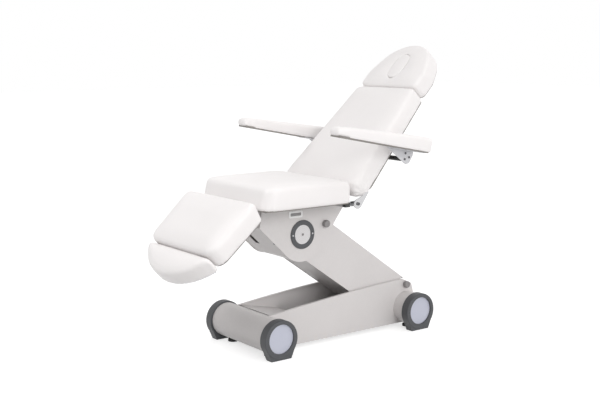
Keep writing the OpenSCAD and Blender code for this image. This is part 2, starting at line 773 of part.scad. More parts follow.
module seat_frame() color(bright_steel) from_base() difference() {
    union() {
        for (side = [-1, 1]) mirrored(side) {
            block([rail_inner, leg_hinge_y + 2 * leg_eye, seat_rail_bottom], [rail_outer, seat_rear_y, seat_under]);
            for (x = [rail_inner - ear - gap, rail_outer + gap]) slab(x, x + ear) {
                translate([leg_hinge_y, leg_hinge_z]) circle(leg_eye);
                polygon([
                    [leg_hinge_y, leg_hinge_z - leg_eye], [leg_hinge_y, seat_under - ear / 2],
                    [front_cross_y, seat_under], [front_cross_y, seat_rail_bottom]
                ]);
            }
            slab(seat_ear_outer - ear, seat_ear_outer) {
                translate([back_hinge_y, back_hinge_z]) circle(ear_radius);
                polygon([
                    [rear_cross_y, seat_rail_bottom], [rear_cross_y, seat_under], [seat_rear_y, seat_under],
                    [back_hinge_y, back_hinge_z + ear_radius], [back_hinge_y, back_hinge_z - ear_radius]
                ]);
            }
            translate([0, leg_hinge_y, leg_hinge_z]) bar(leg_pin, rail_inner - 2 * ear, rail_outer + 2 * ear);
            translate([0, back_hinge_y, back_hinge_z]) bar(hinge_pin, seat_ear_outer - 2 * ear, back_ear_inner + 2 * ear);
        }
        for (tube = cross_tubes) block([-tube[1], tube[0], seat_rail_bottom],
            [tube[1], tube[0] + cross_width, seat_under]);
        tail_bracket(motor_x, front_cross_y, back_motor_tail, back_line);
        tail_bracket(-motor_x, rear_cross_y, leg_motor_tail, leg_line);
        translate([motor_x, back_motor_tail, back_line])
            bar(swing_pin, -swing_gap / 2 - swing_plate, swing_gap / 2 + swing_plate);
        translate([-motor_x, leg_motor_tail, leg_line])
            bar(swing_pin, -swing_gap / 2 - swing_plate, swing_gap / 2 + swing_plate);
    }
    for (side = [-1, 1], tube = cross_tubes) mirrored(side) block(
        [rail_outer + sheet, tube[0] + sheet, seat_rail_bottom + sheet],
        [tube[1] + over, tube[0] + cross_width - sheet, seat_under - sheet]);
}

module seat_tube_caps() color(black_plastic) from_base() for (side = [-1, 1], tube = cross_tubes)
    mirrored(side) {
        block([tube[1], tube[0], seat_rail_bottom], [tube[1] + cap_length, tube[0] + cross_width, seat_under]);
        block([tube[1] - cap_length, tube[0] + sheet + gap, seat_rail_bottom + sheet + gap],
            [tube[1] + over, tube[0] + cross_width - sheet - gap, seat_under - sheet - gap]);
    }

// Plan of the seat, whose front edge lies further back the higher the level
module seat_plan() for (side = [-1, 1]) {
    corner_circle(side * seat_half, seat_front_y + seat_front_lean * max(0, $height - seat_under) / seat_thickness,
        side, -1, plan_corner);
    corner_circle(side * seat_half, seat_rear_y, side, 1, plan_corner * rear_corner_share);
}

module seat_board() color(plywood) from_base() translate([0, 0, seat_under])
    linear_extrude(board) filled(board_inset + gap) seat_plan();

module seat_cushion() color(upholstery) from_base() difference() {
    padded(seat_under, seat_top, crown_inset) seat_plan();
    translate([0, 0, seat_under - over]) linear_extrude(board + gap + over) filled(board_inset) seat_plan();
}

// Back motor and leg motor: tail eye, housing, guide tube along +Y
module small_motor(tail, tube_end) difference() {
    union() {
        bar(motor_eye, -motor_eye_width / 2, motor_eye_width / 2);
        block([-motor_eye_width / 2, 0, -motor_eye], [motor_eye_width / 2, 2 * motor_eye, motor_eye]);
        translate([0, 2 * motor_eye - over, -motor_housing[2] / 2]) linear_extrude(motor_housing[2])
            round_plan([-motor_housing[0] / 2, 0], [motor_housing[0] / 2, motor_housing[1]], foot_edge * 2);
        rod(motor_tube, 2 * motor_eye, tube_end - tail);
    }
    bar(swing_pin + running_fit, -motor_housing[0], motor_housing[0]);
    rod(motor_rod + gap, 2 * motor_eye + motor_housing[1], tube_end - tail + over);
}

module back_motor() color(motor_grey) from_base() translate([motor_x, back_motor_tail, back_line])
    small_motor(back_motor_tail, back_tube_end);

module leg_motor() color(motor_grey) from_base() translate([-motor_x, leg_motor_tail, leg_line])
    mirror([0, 1, 0]) small_motor(-leg_motor_tail, -leg_tube_end);

// A rod with a slotted eye at its origin, reaching back by its length along -Y, slim beside the crank
module small_rod(length, half_swing) difference() {
    union() {
        rod(motor_rod, -length, -motor_eye - rod_neck);
        rod(neck_radius, -motor_eye - rod_neck - over, 0);
        bar(rod_eye, -motor_eye_width / 2, motor_eye_width / 2);
    }
    slab(-motor_eye_width, motor_eye_width)
        upright_slot(swing_pin + eye_clearance + gap, swing_radius * (1 - cos(half_swing)));
}

module back_rod() color(bright_steel) from_base()
    translate([motor_x, back_hinge_y + straight_law(swing_radius, back_crank_lean, back_half_swing), back_line])
        small_rod(back_hinge_y - back_tube_end + rod_reach, back_half_swing);

module leg_rod() color(bright_steel) from_base()
    translate([-motor_x, leg_hinge_y + straight_law(swing_radius, leg_crank_lean, leg_half_swing), leg_line])
        mirror([0, 1, 0]) small_rod(leg_tube_end - leg_hinge_y + rod_reach, leg_half_swing);

// Two crank plates and their pin, below a hinge, tied to a cross tube given by its middle
module swing_crank(x, lean, tube_along, tube_depth, slope) translate([x, 0, 0]) {
    for (side = [-1, 1]) mirrored(side) slab(swing_gap / 2, swing_gap / 2 + swing_plate) {
        rotate(lean - slope) translate([0, -swing_radius]) circle(swing_boss);
        polygon([
            [tube_along - cross_width / 2, tube_depth], [tube_along + cross_width / 2, tube_depth],
            swing_radius * [sin(lean - slope), -cos(lean - slope)] + swing_boss * [cos(lean - slope), sin(lean - slope)],
            swing_radius * [sin(lean - slope), -cos(lean - slope)] - swing_boss * [cos(lean - slope), sin(lean - slope)]
        ]);
    }
    rotate([lean - slope, 0, 0]) translate([0, 0, -swing_radius])
        bar(swing_pin, -swing_gap / 2 - swing_plate, swing_gap / 2 + swing_plate);
}

// Back

module back_frame() color(bright_steel) in_back() difference() {
    union() {
        for (side = [-1, 1]) mirrored(side) {
            block([rail_inner, back_cross_low, back_frame_bottom], [rail_outer, back_rail_end, back_under]);
            slab(back_ear_inner, back_ear_inner + ear) {
                circle(back_ear_radius);
                polygon([
                    [0, -back_ear_radius], [back_cross_low + cross_width, back_frame_bottom],
                    [back_cross_low + cross_width, back_under], [back_start + cross_width, back_under],
                    [0, back_ear_radius]
                ]);
            }
            translate([head_rod_x, 0, head_rod_depth])
                rod(guide_radius, guide_low, back_cross_high + over);
        }
        block([-back_ear_inner - over, back_cross_low, back_frame_bottom],
            [back_ear_inner + over, back_cross_low + cross_width, back_under - sheet]);
        block([-rail_outer, guide_low - cross_width, back_frame_bottom], [rail_outer, guide_low + over, back_under]);
        block([-rail_outer, back_cross_high, back_frame_bottom], [rail_outer, back_rail_end, back_under]);
        swing_crank(motor_x, back_crank_lean, back_cross_low + cross_width / 2, 0, back_angle);
    }
    for (side = [-1, 1]) translate([side * head_rod_x, 0, head_rod_depth])
        rod(head_rod_radius + gap, head_rod_low, back_length);
    bar(hinge_pin + running_fit, -pad_width, pad_width);
}

// Plan of the back's upholstery from one place along it to its upper end, narrowing upwards
module back_plan(from) for (side = [-1, 1]) {
    corner_circle(side * seat_half, from, side, -1, back_corner);
    corner_circle(side * back_top_width / 2, back_length, side, 1, plan_corner / 2);
}

// How far the roll at the back's lower end reaches past its centre line, at a height over the hinge
function roll_reach(height) =
    sqrt(max(0, pow(back_thickness / 2, 2) - pow(height - (back_under + back_over) / 2, 2)));

module back_level(inset, height) level(inset, height)
    back_plan(back_roll_centre - roll_reach(height) - inset);

module back_board() color(plywood) in_back() translate([0, 0, back_under])
    linear_extrude(board) filled(board_inset + gap) back_plan(back_roll_centre);

// The lower end of the back cushion is a full roll, the rest is a crowned block
module back_cushion() color(upholstery) in_back() difference() {
    hull() {
        back_level(under_round, back_under);
        back_level(0, back_under + under_round);
        back_level(0, back_under + back_thickness / 4);
        back_level(0, back_under + back_thickness / 2);
        for (s = edge_shares) back_level(edge_round * s[0], back_over - slice - edge_round * s[1]);
        level(crown_inset, back_over + crown - slice) back_plan(back_start);
    }
    translate([0, 0, back_under - over]) linear_extrude(board + gap + over)
        filled(board_inset) back_plan(back_roll_centre);
}

// The black bar across the back's underside that carries both armrests
module armrest_crossbar() color(black_plastic) in_back() translate([0, armrest_bar_along, armrest_bar_depth]) {
    bar(armrest_bar_radius, -armrest_bar_half, armrest_bar_half);
    bar(armrest_pin, -armrest_plate_x - armrest_plate, armrest_plate_x + armrest_plate);
    for (side = [-1, 1]) mirrored(side) block([rail_inner, -saddle_width / 2, 0],
        [rail_outer, saddle_width / 2, back_frame_bottom - armrest_bar_depth]);
}

// Head rest

module head_plan() {
    for (side = [-1, 1]) {
        corner_circle(side * head_width / 2, head_start, side, -1, plan_corner / 2);
        corner_circle(side * head_width / 2, head_start + head_length * head_straight_share, side, 1, plan_corner);
    }
    translate([0, head_start + head_length - head_width * head_arc_share]) scale([1, head_arc_share / head_arc_wide])
        intersection() {
            circle(head_width * head_arc_wide - $inset, $fn = 48);
            translate([-head_width, head_arc_low]) square([2 * head_width, head_width]);
        }
}

// Oval of the face opening, drawn as a stretched circle so that its wall is one smooth curve
module face_oval(grow, from, to) translate([0, plug_centre, from])
    linear_extrude(to - from) union() {
        for (end = [-1, 1]) translate([0, end * (plug_half_length - plug_half_width)])
            circle(plug_half_width + grow);
        translate([-plug_half_width - grow, -(plug_half_length - plug_half_width)])
            square([2 * (plug_half_width + grow), 2 * (plug_half_length - plug_half_width)]);
    }

module head_board() color(plywood) in_back() difference() {
    translate([0, 0, back_under]) linear_extrude(board) filled(board_inset + gap) head_plan();
    face_oval(-plug_ledge, back_under - over, back_over);
}

module head_cushion() color(upholstery) in_back() difference() {
    padded(back_under, back_over, crown_inset) head_plan();
    translate([0, 0, back_under - over]) linear_extrude(board + gap + over) filled(board_inset) head_plan();
    face_oval(plug_gap, back_under, back_over + 2 * crown);
}

module face_plug() color(upholstery) in_back() face_oval(0, back_under + board + gap, back_over + crown);

module head_rods() color(bright_steel) in_back() for (side = [-1, 1]) {
    translate([side * head_rod_x, 0, head_rod_depth]) difference() {
        rod(head_rod_radius, head_rod_low, head_rod_high);
        rod(head_rod_radius - head_rod_wall, head_rod_low - over, head_rod_high - head_rod_wall);
    }
    block([side * head_rod_x - head_rod_radius, head_start + plan_corner / 2, head_rod_depth + head_rod_radius / 2],
        [side * head_rod_x + head_rod_radius, head_rod_high, back_under]);
}

// Leg rest

// The crank is mirrored here, because the leg rest runs along -Y and slopes the other way
module leg_frame() color(bright_steel) in_leg() difference() {
    union() {
        for (side = [-1, 1]) mirrored(side) {
            bar(leg_eye - over, rail_inner, rail_outer);
            block([rail_inner, -leg_rail_end, leg_frame_bottom], [rail_outer, -leg_rail_start, leg_under]);
            block([rail_inner, -leg_rail_start - leg_eye, -leg_eye + over], [rail_outer, 0, leg_eye / 2]);
            translate([foot_tube_x, 0, foot_tube_depth]) rod(foot_guide_radius, -leg_rail_end, -foot_guide_low);
        }
        for (along = [leg_cross_low, leg_cross_high]) block([-rail_outer, -along - cross_width, leg_frame_bottom],
            [rail_outer, -along, leg_under]);
        mirror([0, 1, 0]) swing_crank(-motor_x, -leg_crank_lean, leg_cross_low + cross_width / 2, 0, -leg_angle);
    }
    for (side = [-1, 1]) translate([side * foot_tube_x, 0, foot_tube_depth])
        rod(foot_tube_radius + gap, -leg_length, -foot_tube_low + cross_width);
    bar(leg_pin + running_fit, -pad_width, pad_width);
}

module leg_plan() for (side = [-1, 1]) {
    corner_circle(side * seat_half, -leg_start, side, 1, leg_corner / 2);
    corner_circle(side * leg_end_width / 2, -leg_length, side, -1, leg_corner);
}

module leg_board() color(plywood) in_leg() translate([0, 0, leg_under])
    linear_extrude(board) filled(board_inset + gap) leg_plan();

module leg_cushion() color(upholstery) in_leg() difference() {
    padded(leg_under, leg_over, crown_inset) leg_plan();
    translate([0, 0, leg_under - over]) linear_extrude(board + gap + over) filled(board_inset) leg_plan();
}

// Foot pad: a bow-shaped pad on two tubes that slide in the leg rest's guides
foot_arc = (pow(foot_pad_width / 2, 2) + pow(foot_pad_length, 2)) / (2 * foot_pad_length);

// Half the straight edge of the bow once it has lost an inset all round
function bow_tip(inset) = sqrt(pow(foot_arc - inset, 2) - pow(foot_arc - foot_pad_length + inset, 2));

module foot_plan() {
    reach = foot_arc - $inset;
    widest = asin(bow_tip($inset) * bow_blunt_share / reach);
    polygon(concat(
        [for (i = [-bow_steps:bow_steps]) [
            reach * sin(widest * i / bow_steps),
            foot_arc - foot_start - foot_pad_length - reach * cos(widest * i / bow_steps)
        ]],
        [for (side = [1, -1]) [side * bow_tip($inset) * bow_flat_share, -foot_start - $inset]]
    ));
}

module foot_pad_frame() color(bright_steel) in_leg() {
    for (side = [-1, 1]) translate([side * foot_tube_x, 0, foot_tube_depth]) {
        rod(foot_tube_radius, -foot_tube_high, -foot_tube_low);
        block([-foot_tube_radius, -foot_tube_high, 0],
            [foot_tube_radius, -foot_start - board_inset, leg_under - foot_tube_depth]);
    }
    translate([0, 0, leg_under]) linear_extrude(board) filled(board_inset + gap) foot_plan();
}

module foot_pad_cushion() color(upholstery) in_leg() difference() {
    padded(leg_under, leg_under + foot_pad_thickness, crown_inset / 2) foot_plan();
    translate([0, 0, leg_under - over]) linear_extrude(board + gap + over) filled(board_inset) foot_plan();
}

// Armrests

module armrest_pad(side) color(upholstery) in_armrest() mirrored(side)
    translate([armrest_centre, armrest_rear - armrest_length, armrest_under + armrest_board]) hull() {
        for (x = [-1, 1], rear = [0, 1]) translate([
            x * (armrest_width / 2 - armrest_corner / (2 - rear)),
            armrest_corner / (2 - rear) + rear * (armrest_length - 2 * armrest_corner), 0
        ]) {
            height = rear * armrest_rear_height + (1 - rear) * armrest_front_height - armrest_board;
            cylinder(r = armrest_corner / (2 - rear), h = height - armrest_edge / (2 - rear), $fn = 32);
            cylinder(r = armrest_corner / (2 - rear) - armrest_edge / (4 - 2 * rear), h = height, $fn = 32);
        }
    }

// Dark base board between a pad and its bracket
module armrest_base(side) color(black_plastic) in_armrest() mirrored(side)
    translate([armrest_centre, armrest_rear - armrest_length, armrest_under]) linear_extrude(armrest_board) hull()
        for (x = [-1, 1], rear = [0, 1]) translate([
            x * (armrest_width / 2 - armrest_corner / (2 - rear)),
            armrest_corner / (2 - rear) + rear * (armrest_length - 2 * armrest_corner)
        ]) circle(armrest_corner / (2 - rear) - armrest_board_inset);

// Bracket plate on the crossbar's pin, with its flange under the base board
module armrest_bracket(side) color(bright_steel) in_armrest() mirrored(side) difference() {
    union() {
        slab(armrest_plate_x, armrest_plate_x + armrest_plate) {
            circle(armrest_tip_radius);
            polygon([
                [-armrest_tip_radius, 0], [armrest_tip_radius, 0],
                [armrest_plate_rear, armrest_under], [-armrest_plate_front, armrest_under]
            ]);
        }
        block([armrest_plate_x, -armrest_plate_front, armrest_under - armrest_plate],
            [armrest_plate_x + armrest_flange, armrest_plate_rear, armrest_under]);
        for (a = [20:50:120]) rotate([a, 0, 0]) translate([armrest_plate_x, rivet_spacing, 0])
            bar(rivet_radius, 0, armrest_plate + rivet_height);
    }
    bar(armrest_pin + running_fit, 0, pad_width);
}

base_panel(1);  // base_panel_left
base_panel(-1);  // base_panel_right
base_floor();
front_ramp();
rear_cover();
cross_drums();
foot(1, -1);  // foot_front_left
foot(-1, -1);  // foot_front_right
foot(1, 1);  // foot_rear_left
foot(-1, 1);  // foot_rear_right
foot_discs();
support_pads();
lower_shafts();
lower_knobs();
control_box();
mains_inlet();
lift_motor();
lift_rod();
arm_side(1);  // arm_side_left
arm_side(-1);  // arm_side_right
arm_top_plate();
arm_belly_plate();
arm_crank();
arm_head_hub();
levelling_link();
carrier_plate(1);  // carrier_plate_left
carrier_plate(-1);  // carrier_plate_right
carrier_front_cover();
upper_shafts();
upper_knobs();
ring_covers();
ring_discs();
badge_frame();
seat_frame();
seat_tube_caps();
seat_board();
seat_cushion();
back_motor();
leg_motor();
back_frame();
back_board();
back_cushion();
armrest_crossbar();
back_rod();
head_rods();
head_board();
head_cushion();
face_plug();
leg_frame();
leg_board();
leg_cushion();
leg_rod();
foot_pad_frame();
foot_pad_cushion();
armrest_pad(1);  // armrest_left_pad
armrest_pad(-1);  // armrest_right_pad
armrest_base(1);  // armrest_left_board
armrest_base(-1);  // armrest_right_board
armrest_bracket(1);  // armrest_left_bracket
armrest_bracket(-1);  // armrest_right_bracket
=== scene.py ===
# %% [markdown]
# # A treatment chair, dressed from its CAD frame
# The imported model gives every rigid part at its true size. This lesson leaves those parts where they
# are, gives each one a finish, and makes the soft upholstery and the small fittings as new pieces.
# %% Load the frame
import math
import json
from collections import namedtuple

import bmesh
import bpy
from mathutils import Matrix, Vector
from mathutils.bvhtree import BVHTree


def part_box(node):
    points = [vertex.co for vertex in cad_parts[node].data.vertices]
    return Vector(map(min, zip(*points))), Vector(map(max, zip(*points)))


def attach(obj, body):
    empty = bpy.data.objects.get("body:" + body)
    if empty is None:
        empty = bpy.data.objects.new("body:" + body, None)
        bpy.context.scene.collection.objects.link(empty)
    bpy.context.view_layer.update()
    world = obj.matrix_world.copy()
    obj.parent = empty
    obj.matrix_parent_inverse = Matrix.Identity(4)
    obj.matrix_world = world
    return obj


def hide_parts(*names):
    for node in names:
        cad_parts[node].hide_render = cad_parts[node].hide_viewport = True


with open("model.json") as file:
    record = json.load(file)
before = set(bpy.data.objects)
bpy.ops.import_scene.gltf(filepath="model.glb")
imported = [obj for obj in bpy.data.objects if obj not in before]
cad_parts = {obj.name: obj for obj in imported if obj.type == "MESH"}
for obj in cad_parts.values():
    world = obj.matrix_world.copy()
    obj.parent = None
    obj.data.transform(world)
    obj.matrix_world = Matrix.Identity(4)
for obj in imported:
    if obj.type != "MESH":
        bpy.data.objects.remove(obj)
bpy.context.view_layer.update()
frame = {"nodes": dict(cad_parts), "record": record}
nodes = frame["nodes"]
sides = ((1, "left"), (-1, "right"))


def box_corners(node):
    """The low and the high corner of a CAD node's box."""
    return [Vector(corner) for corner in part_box(node)]


# %% [markdown]
# The photograph was taken with a long lens from the front and from the sitter's left, a little above
# seat height. A camera is aimed most simply by building its rotation from the line between it and its
# target, so the two points below are all that has to be known besides the lens.
# %% Camera
camera_place = Vector((4.263, -3.229, 1.529))
camera_target = Vector((0.0, -0.0166, 0.716))
camera_data = bpy.data.cameras.new("camera")
camera_data.sensor_width = 36.0
camera_data.lens = 61.82
camera = bpy.data.objects.new("camera", camera_data)
camera.location = camera_place
camera.rotation_euler = (camera_target - camera_place).to_track_quat("-Z", "Y").to_euler()
bpy.context.scene.collection.objects.link(camera)
bpy.context.scene.camera = camera
bpy.context.scene.view_settings.view_transform = "Standard"
print("camera", round((camera_target - camera_place).length, 3), "m from its target")

# %% [markdown]
# Studio light for a white product is mostly light from everywhere: a bright world, and two large
# soft lamps that give the forms a gentle direction. The camera itself sees a plain white world,
# through Light Path, so the background can be white without more light falling on the chair.
# The world is brighter on one side than on the other: its strength is a middle value plus the dot
# product of the ray's direction and a lean.
# %% World light
ambient_colour = (1.0, 0.988, 0.988, 1.0)
ambient_lean = (0.08, 0.42, 0.24)
ambient_middle = 0.63
world = bpy.data.worlds.new("studio")
bpy.context.scene.world = world
world.use_nodes = True
tree = world.node_tree
tree.nodes.clear()
world_out = tree.nodes.new("ShaderNodeOutputWorld")
world_mix = tree.nodes.new("ShaderNodeMixShader")
seen = tree.nodes.new("ShaderNodeBackground")
seen.inputs["Color"].default_value = (1.0, 1.0, 1.0, 1.0)
ambient = tree.nodes.new("ShaderNodeBackground")
ambient.inputs["Color"].default_value = ambient_colour


def math_node(tree, operation, first, second=None):
    """One math node; each of the two values is a number or another node's output."""
    node = tree.nodes.new("ShaderNodeMath")
    node.operation = operation
    for index, value in enumerate((first, second)):
        if isinstance(value, (int, float)):
            node.inputs[index].default_value = value
        elif value is not None:
            tree.links.new(value, node.inputs[index])
    return node.outputs[0]


def white_to_camera(tree):
    """A value of 1 for rays from the camera, a mirror or glass, and 0 for those that light things."""
    path = tree.nodes.new("ShaderNodeLightPath")
    direct = math_node(tree, "MAXIMUM", path.outputs["Is Camera Ray"], path.outputs["Is Glossy Ray"])
    return math_node(tree, "MAXIMUM", direct, path.outputs["Is Transmission Ray"])


tree.links.new(white_to_camera(tree), world_mix.inputs[0])
tree.links.new(ambient.outputs[0], world_mix.inputs[1])
tree.links.new(seen.outputs[0], world_mix.inputs[2])
tree.links.new(world_mix.outputs[0], world_out.inputs[0])
leaning = tree.nodes.new("ShaderNodeVectorMath")
leaning.operation = "DOT_PRODUCT"
leaning.inputs[1].default_value = ambient_lean
tree.links.new(tree.nodes.new("ShaderNodeTexCoord").outputs["Generated"], leaning.inputs[0])
strength = math_node(tree, "ADD", leaning.outputs["Value"], ambient_middle)
tree.links.new(strength, ambient.inputs["Strength"])
print("world made")

# %% [markdown]
# The lamps are area lights, because a large lamp gives soft edges to its shadows. Each one is aimed
# at the middle of the chair in the way the camera was. The key lamp stands to the camera's right, and
# a weaker one above the foot end brightens the cushions' tops.
# %% Lamps
chair_middle = Vector((0.0, 0.0, 0.7))


def soft_lamp(name, place, size, power):
    """A square area lamp that looks at the middle of the chair."""
    data = bpy.data.lights.new(name, "AREA")
    data.size = size
    data.energy = power
    lamp = bpy.data.objects.new(name, data)
    lamp.location = place
    lamp.rotation_euler = (chair_middle - Vector(place)).to_track_quat("-Z", "Y").to_euler()
    bpy.context.scene.collection.objects.link(lamp)


soft_lamp("key_lamp", place=(5.4, -0.8, 2.5), size=3.0, power=112.0)
soft_lamp("lamp_above", place=(-0.6, -2.9, 3.3), size=3.0, power=53.0)
print("two lamps")

# %% [markdown]
# The floor is one wide sheet. To the camera it adds a little light of its own, so that it runs into
# the white of the world with no horizon, and it still darkens under the feet.
# %% Floor
floor_half_size = 30.0
floor_tone = (0.62, 0.62, 0.62, 1.0)
floor_tone_seen = (0.55, 0.55, 0.55, 1.0)
floor_glow = 0.66
floor_bm = bmesh.new()
bmesh.ops.create_grid(floor_bm, x_segments=1, y_segments=1, size=floor_half_size)
floor_mesh = bpy.data.meshes.new("floor")
floor_bm.to_mesh(floor_mesh)
floor_bm.free()
floor = bpy.data.objects.new("floor", floor_mesh)
bpy.context.scene.collection.objects.link(floor)
floor_paint = bpy.data.materials.new("floor_paint")
floor_paint.use_nodes = True
tree = floor_paint.node_tree
tree.nodes.clear()
floor_out = tree.nodes.new("ShaderNodeOutputMaterial")
matt = tree.nodes.new("ShaderNodeBsdfDiffuse")
matt.inputs["Color"].default_value = floor_tone
pale = tree.nodes.new("ShaderNodeBsdfDiffuse")
pale.inputs["Color"].default_value = floor_tone_seen
glow = tree.nodes.new("ShaderNodeEmission")
glow.inputs["Strength"].default_value = floor_glow
lifted = tree.nodes.new("ShaderNodeAddShader")
floor_mix = tree.nodes.new("ShaderNodeMixShader")
tree.links.new(pale.outputs[0], lifted.inputs[0])
tree.links.new(glow.outputs[0], lifted.inputs[1])
tree.links.new(white_to_camera(tree), floor_mix.inputs[0])
tree.links.new(matt.outputs[0], floor_mix.inputs[1])
tree.links.new(lifted.outputs[0], floor_mix.inputs[2])
tree.links.new(floor_mix.outputs[0], floor_out.inputs[0])
floor_mesh.materials.append(floor_paint)
print("floor laid")

# %% [markdown]
# Several finishes share the same small effects. Each effect is a node group that is built once:
# a fine grain that gives paint and plastic their tiny bumps, an edge mask that finds where hands and
# shoes have rubbed, and a broad cloud that keeps a large surface from being one flat colour.
# The grain is two noises added, the second one coarser by a fixed share of the scale.
# %% Fine grain group
coarse_scale_share = 0.22
coarse_height = 1.4


def new_group(name, inputs, outputs):
    """A shader node group with the named inputs (name, value) and number outputs."""
    group = bpy.data.node_groups.new(name, "ShaderNodeTree")
    for label, value in inputs:
        socket = group.interface.new_socket(label, in_out="INPUT", socket_type="NodeSocketFloat")
        socket.default_value = value
    for label in outputs:
        group.interface.new_socket(label, in_out="OUTPUT", socket_type="NodeSocketFloat")
    start = group.nodes.new("NodeGroupInput")
    end = group.nodes.new("NodeGroupOutput")
    return group, start, end


def object_place(tree):
    """The place on the object, in metres."""
    return tree.nodes.new("ShaderNodeTexCoord").outputs["Object"]


def noise(tree, place, scale, detail, rough=0.5):
    """A cloud of noise; scale is another node's output."""
    node = tree.nodes.new("ShaderNodeTexNoise")
    node.inputs["Detail"].default_value = detail
    node.inputs["Roughness"].default_value = rough
    tree.links.new(place, node.inputs["Vector"])
    tree.links.new(scale, node.inputs["Scale"])
    return node.outputs["Fac"]


grain_group, start, end = new_group("fine_grain", [("Scale", 900.0)], ["Height"])
place = object_place(grain_group)
fine = noise(grain_group, place, start.outputs["Scale"], detail=2.0)
coarse_scale = math_node(grain_group, "MULTIPLY", start.outputs["Scale"], coarse_scale_share)
coarse = noise(grain_group, place, coarse_scale, detail=2.0)
both = math_node(grain_group, "ADD", fine, math_node(grain_group, "MULTIPLY", coarse, coarse_height))
grain_group.links.new(both, end.inputs["Height"])
print("fine grain group")

# %% [markdown]
# Noise seldom reaches 0 or 1, so the cloud group stretches its middle part to the two values that a
# finish asks for. The edge mask works in the same way on Pointiness, which is above one half where
# the surface bends outward; a patchy noise then breaks it up, as wear never runs evenly.
# %% Cloud and rubbed-edge groups
cloud_from = 0.3
cloud_to = 0.7
rub_from = 0.53
rub_to = 0.66
cloud_group, start, end = new_group("soft_cloud", [("Scale", 5.0), ("Low", 0.0), ("High", 1.0)], ["Mask"])
cloud = noise(cloud_group, object_place(cloud_group), start.outputs["Scale"], detail=4.0, rough=0.55)
spread = cloud_group.nodes.new("ShaderNodeMapRange")
spread.inputs["From Min"].default_value = cloud_from
spread.inputs["From Max"].default_value = cloud_to
cloud_group.links.new(cloud, spread.inputs["Value"])
cloud_group.links.new(start.outputs["Low"], spread.inputs["To Min"])
cloud_group.links.new(start.outputs["High"], spread.inputs["To Max"])
cloud_group.links.new(spread.outputs["Result"], end.inputs["Mask"])

rub_group, start, end = new_group("rubbed_edge", [("Amount", 1.0), ("Scale", 60.0)], ["Mask"])
shape = rub_group.nodes.new("ShaderNodeNewGeometry")
sharp = rub_group.nodes.new("ShaderNodeMapRange")
sharp.inputs["From Min"].default_value = rub_from
sharp.inputs["From Max"].default_value = rub_to
rub_group.links.new(shape.outputs["Pointiness"], sharp.inputs["Value"])
broken = noise(rub_group, object_place(rub_group), start.outputs["Scale"], detail=4.0, rough=0.6)
patchy = math_node(rub_group, "MULTIPLY", sharp.outputs["Result"], broken)
rubbed = math_node(rub_group, "MULTIPLY", patchy, start.outputs["Amount"])
rub_group.links.new(rubbed, end.inputs["Mask"])
print("cloud and rubbed-edge groups")

# %% [markdown]
# Artificial leather is a thin vinyl skin, embossed with a fine net of rounded cells. Voronoi cells
# give that net: the distance to the nearest border is low in the creases and high on each pebble.
# A little noise bends the borders, so that no crease is a straight line.
# %% Leather group
border_noise_scale = 90.0
border_bend = 0.0035
crease_width = 0.16
leather_group, start, end = new_group("pebbled_skin", [("Scale", 620.0)], ["Height"])
place = object_place(leather_group)
bend = leather_group.nodes.new("ShaderNodeTexNoise")
bend.inputs["Scale"].default_value = border_noise_scale
leather_group.links.new(place, bend.inputs["Vector"])
shifted = leather_group.nodes.new("ShaderNodeMix")
shifted.data_type = "VECTOR"
shifted.inputs["Factor"].default_value = border_bend
leather_group.links.new(place, shifted.inputs["A"])
leather_group.links.new(bend.outputs["Color"], shifted.inputs["B"])
cells = leather_group.nodes.new("ShaderNodeTexVoronoi")
cells.feature = "DISTANCE_TO_EDGE"
leather_group.links.new(shifted.outputs["Result"], cells.inputs["Vector"])
leather_group.links.new(start.outputs["Scale"], cells.inputs["Scale"])
pebble = leather_group.nodes.new("ShaderNodeMapRange")
pebble.interpolation_type = "SMOOTHSTEP"
pebble.inputs["From Max"].default_value = crease_width
leather_group.links.new(cells.outputs["Distance"], pebble.inputs["Value"])
leather_group.links.new(pebble.outputs["Result"], end.inputs["Height"])
print("leather group")

# %% [markdown]
# A finish is one Principled shader with these effects plugged in. Its colour runs between a base
# and a slightly different tone under the broad cloud, then towards a third one where edges are
# rubbed; the grain feeds a Bump node. One function builds that chain, so each finish below is only
# its own colours and numbers. A finish that carries the name of a material slot serves that slot.
# %% Finish builder
grain_depth = 0.0002
shine_cloud_share = 3.0
finishes = {}


def colour_mix(tree, mask, first, second):
    """A colour that runs from the first to the second by a mask; the first may be an output."""
    node = tree.nodes.new("ShaderNodeMix")
    node.data_type = "RGBA"
    tree.links.new(mask, node.inputs["Factor"])
    if isinstance(first, tuple):
        node.inputs["A"].default_value = (*first, 1.0)
    else:
        tree.links.new(first, node.inputs["A"])
    node.inputs["B"].default_value = (*second, 1.0)
    return node.outputs["Result"]


def place_group(tree, group, **values):
    """A group placed in a material, with its own values."""
    node = tree.nodes.new("ShaderNodeGroup")
    node.node_tree = group
    for label, value in values.items():
        node.inputs[label].default_value = value
    return node


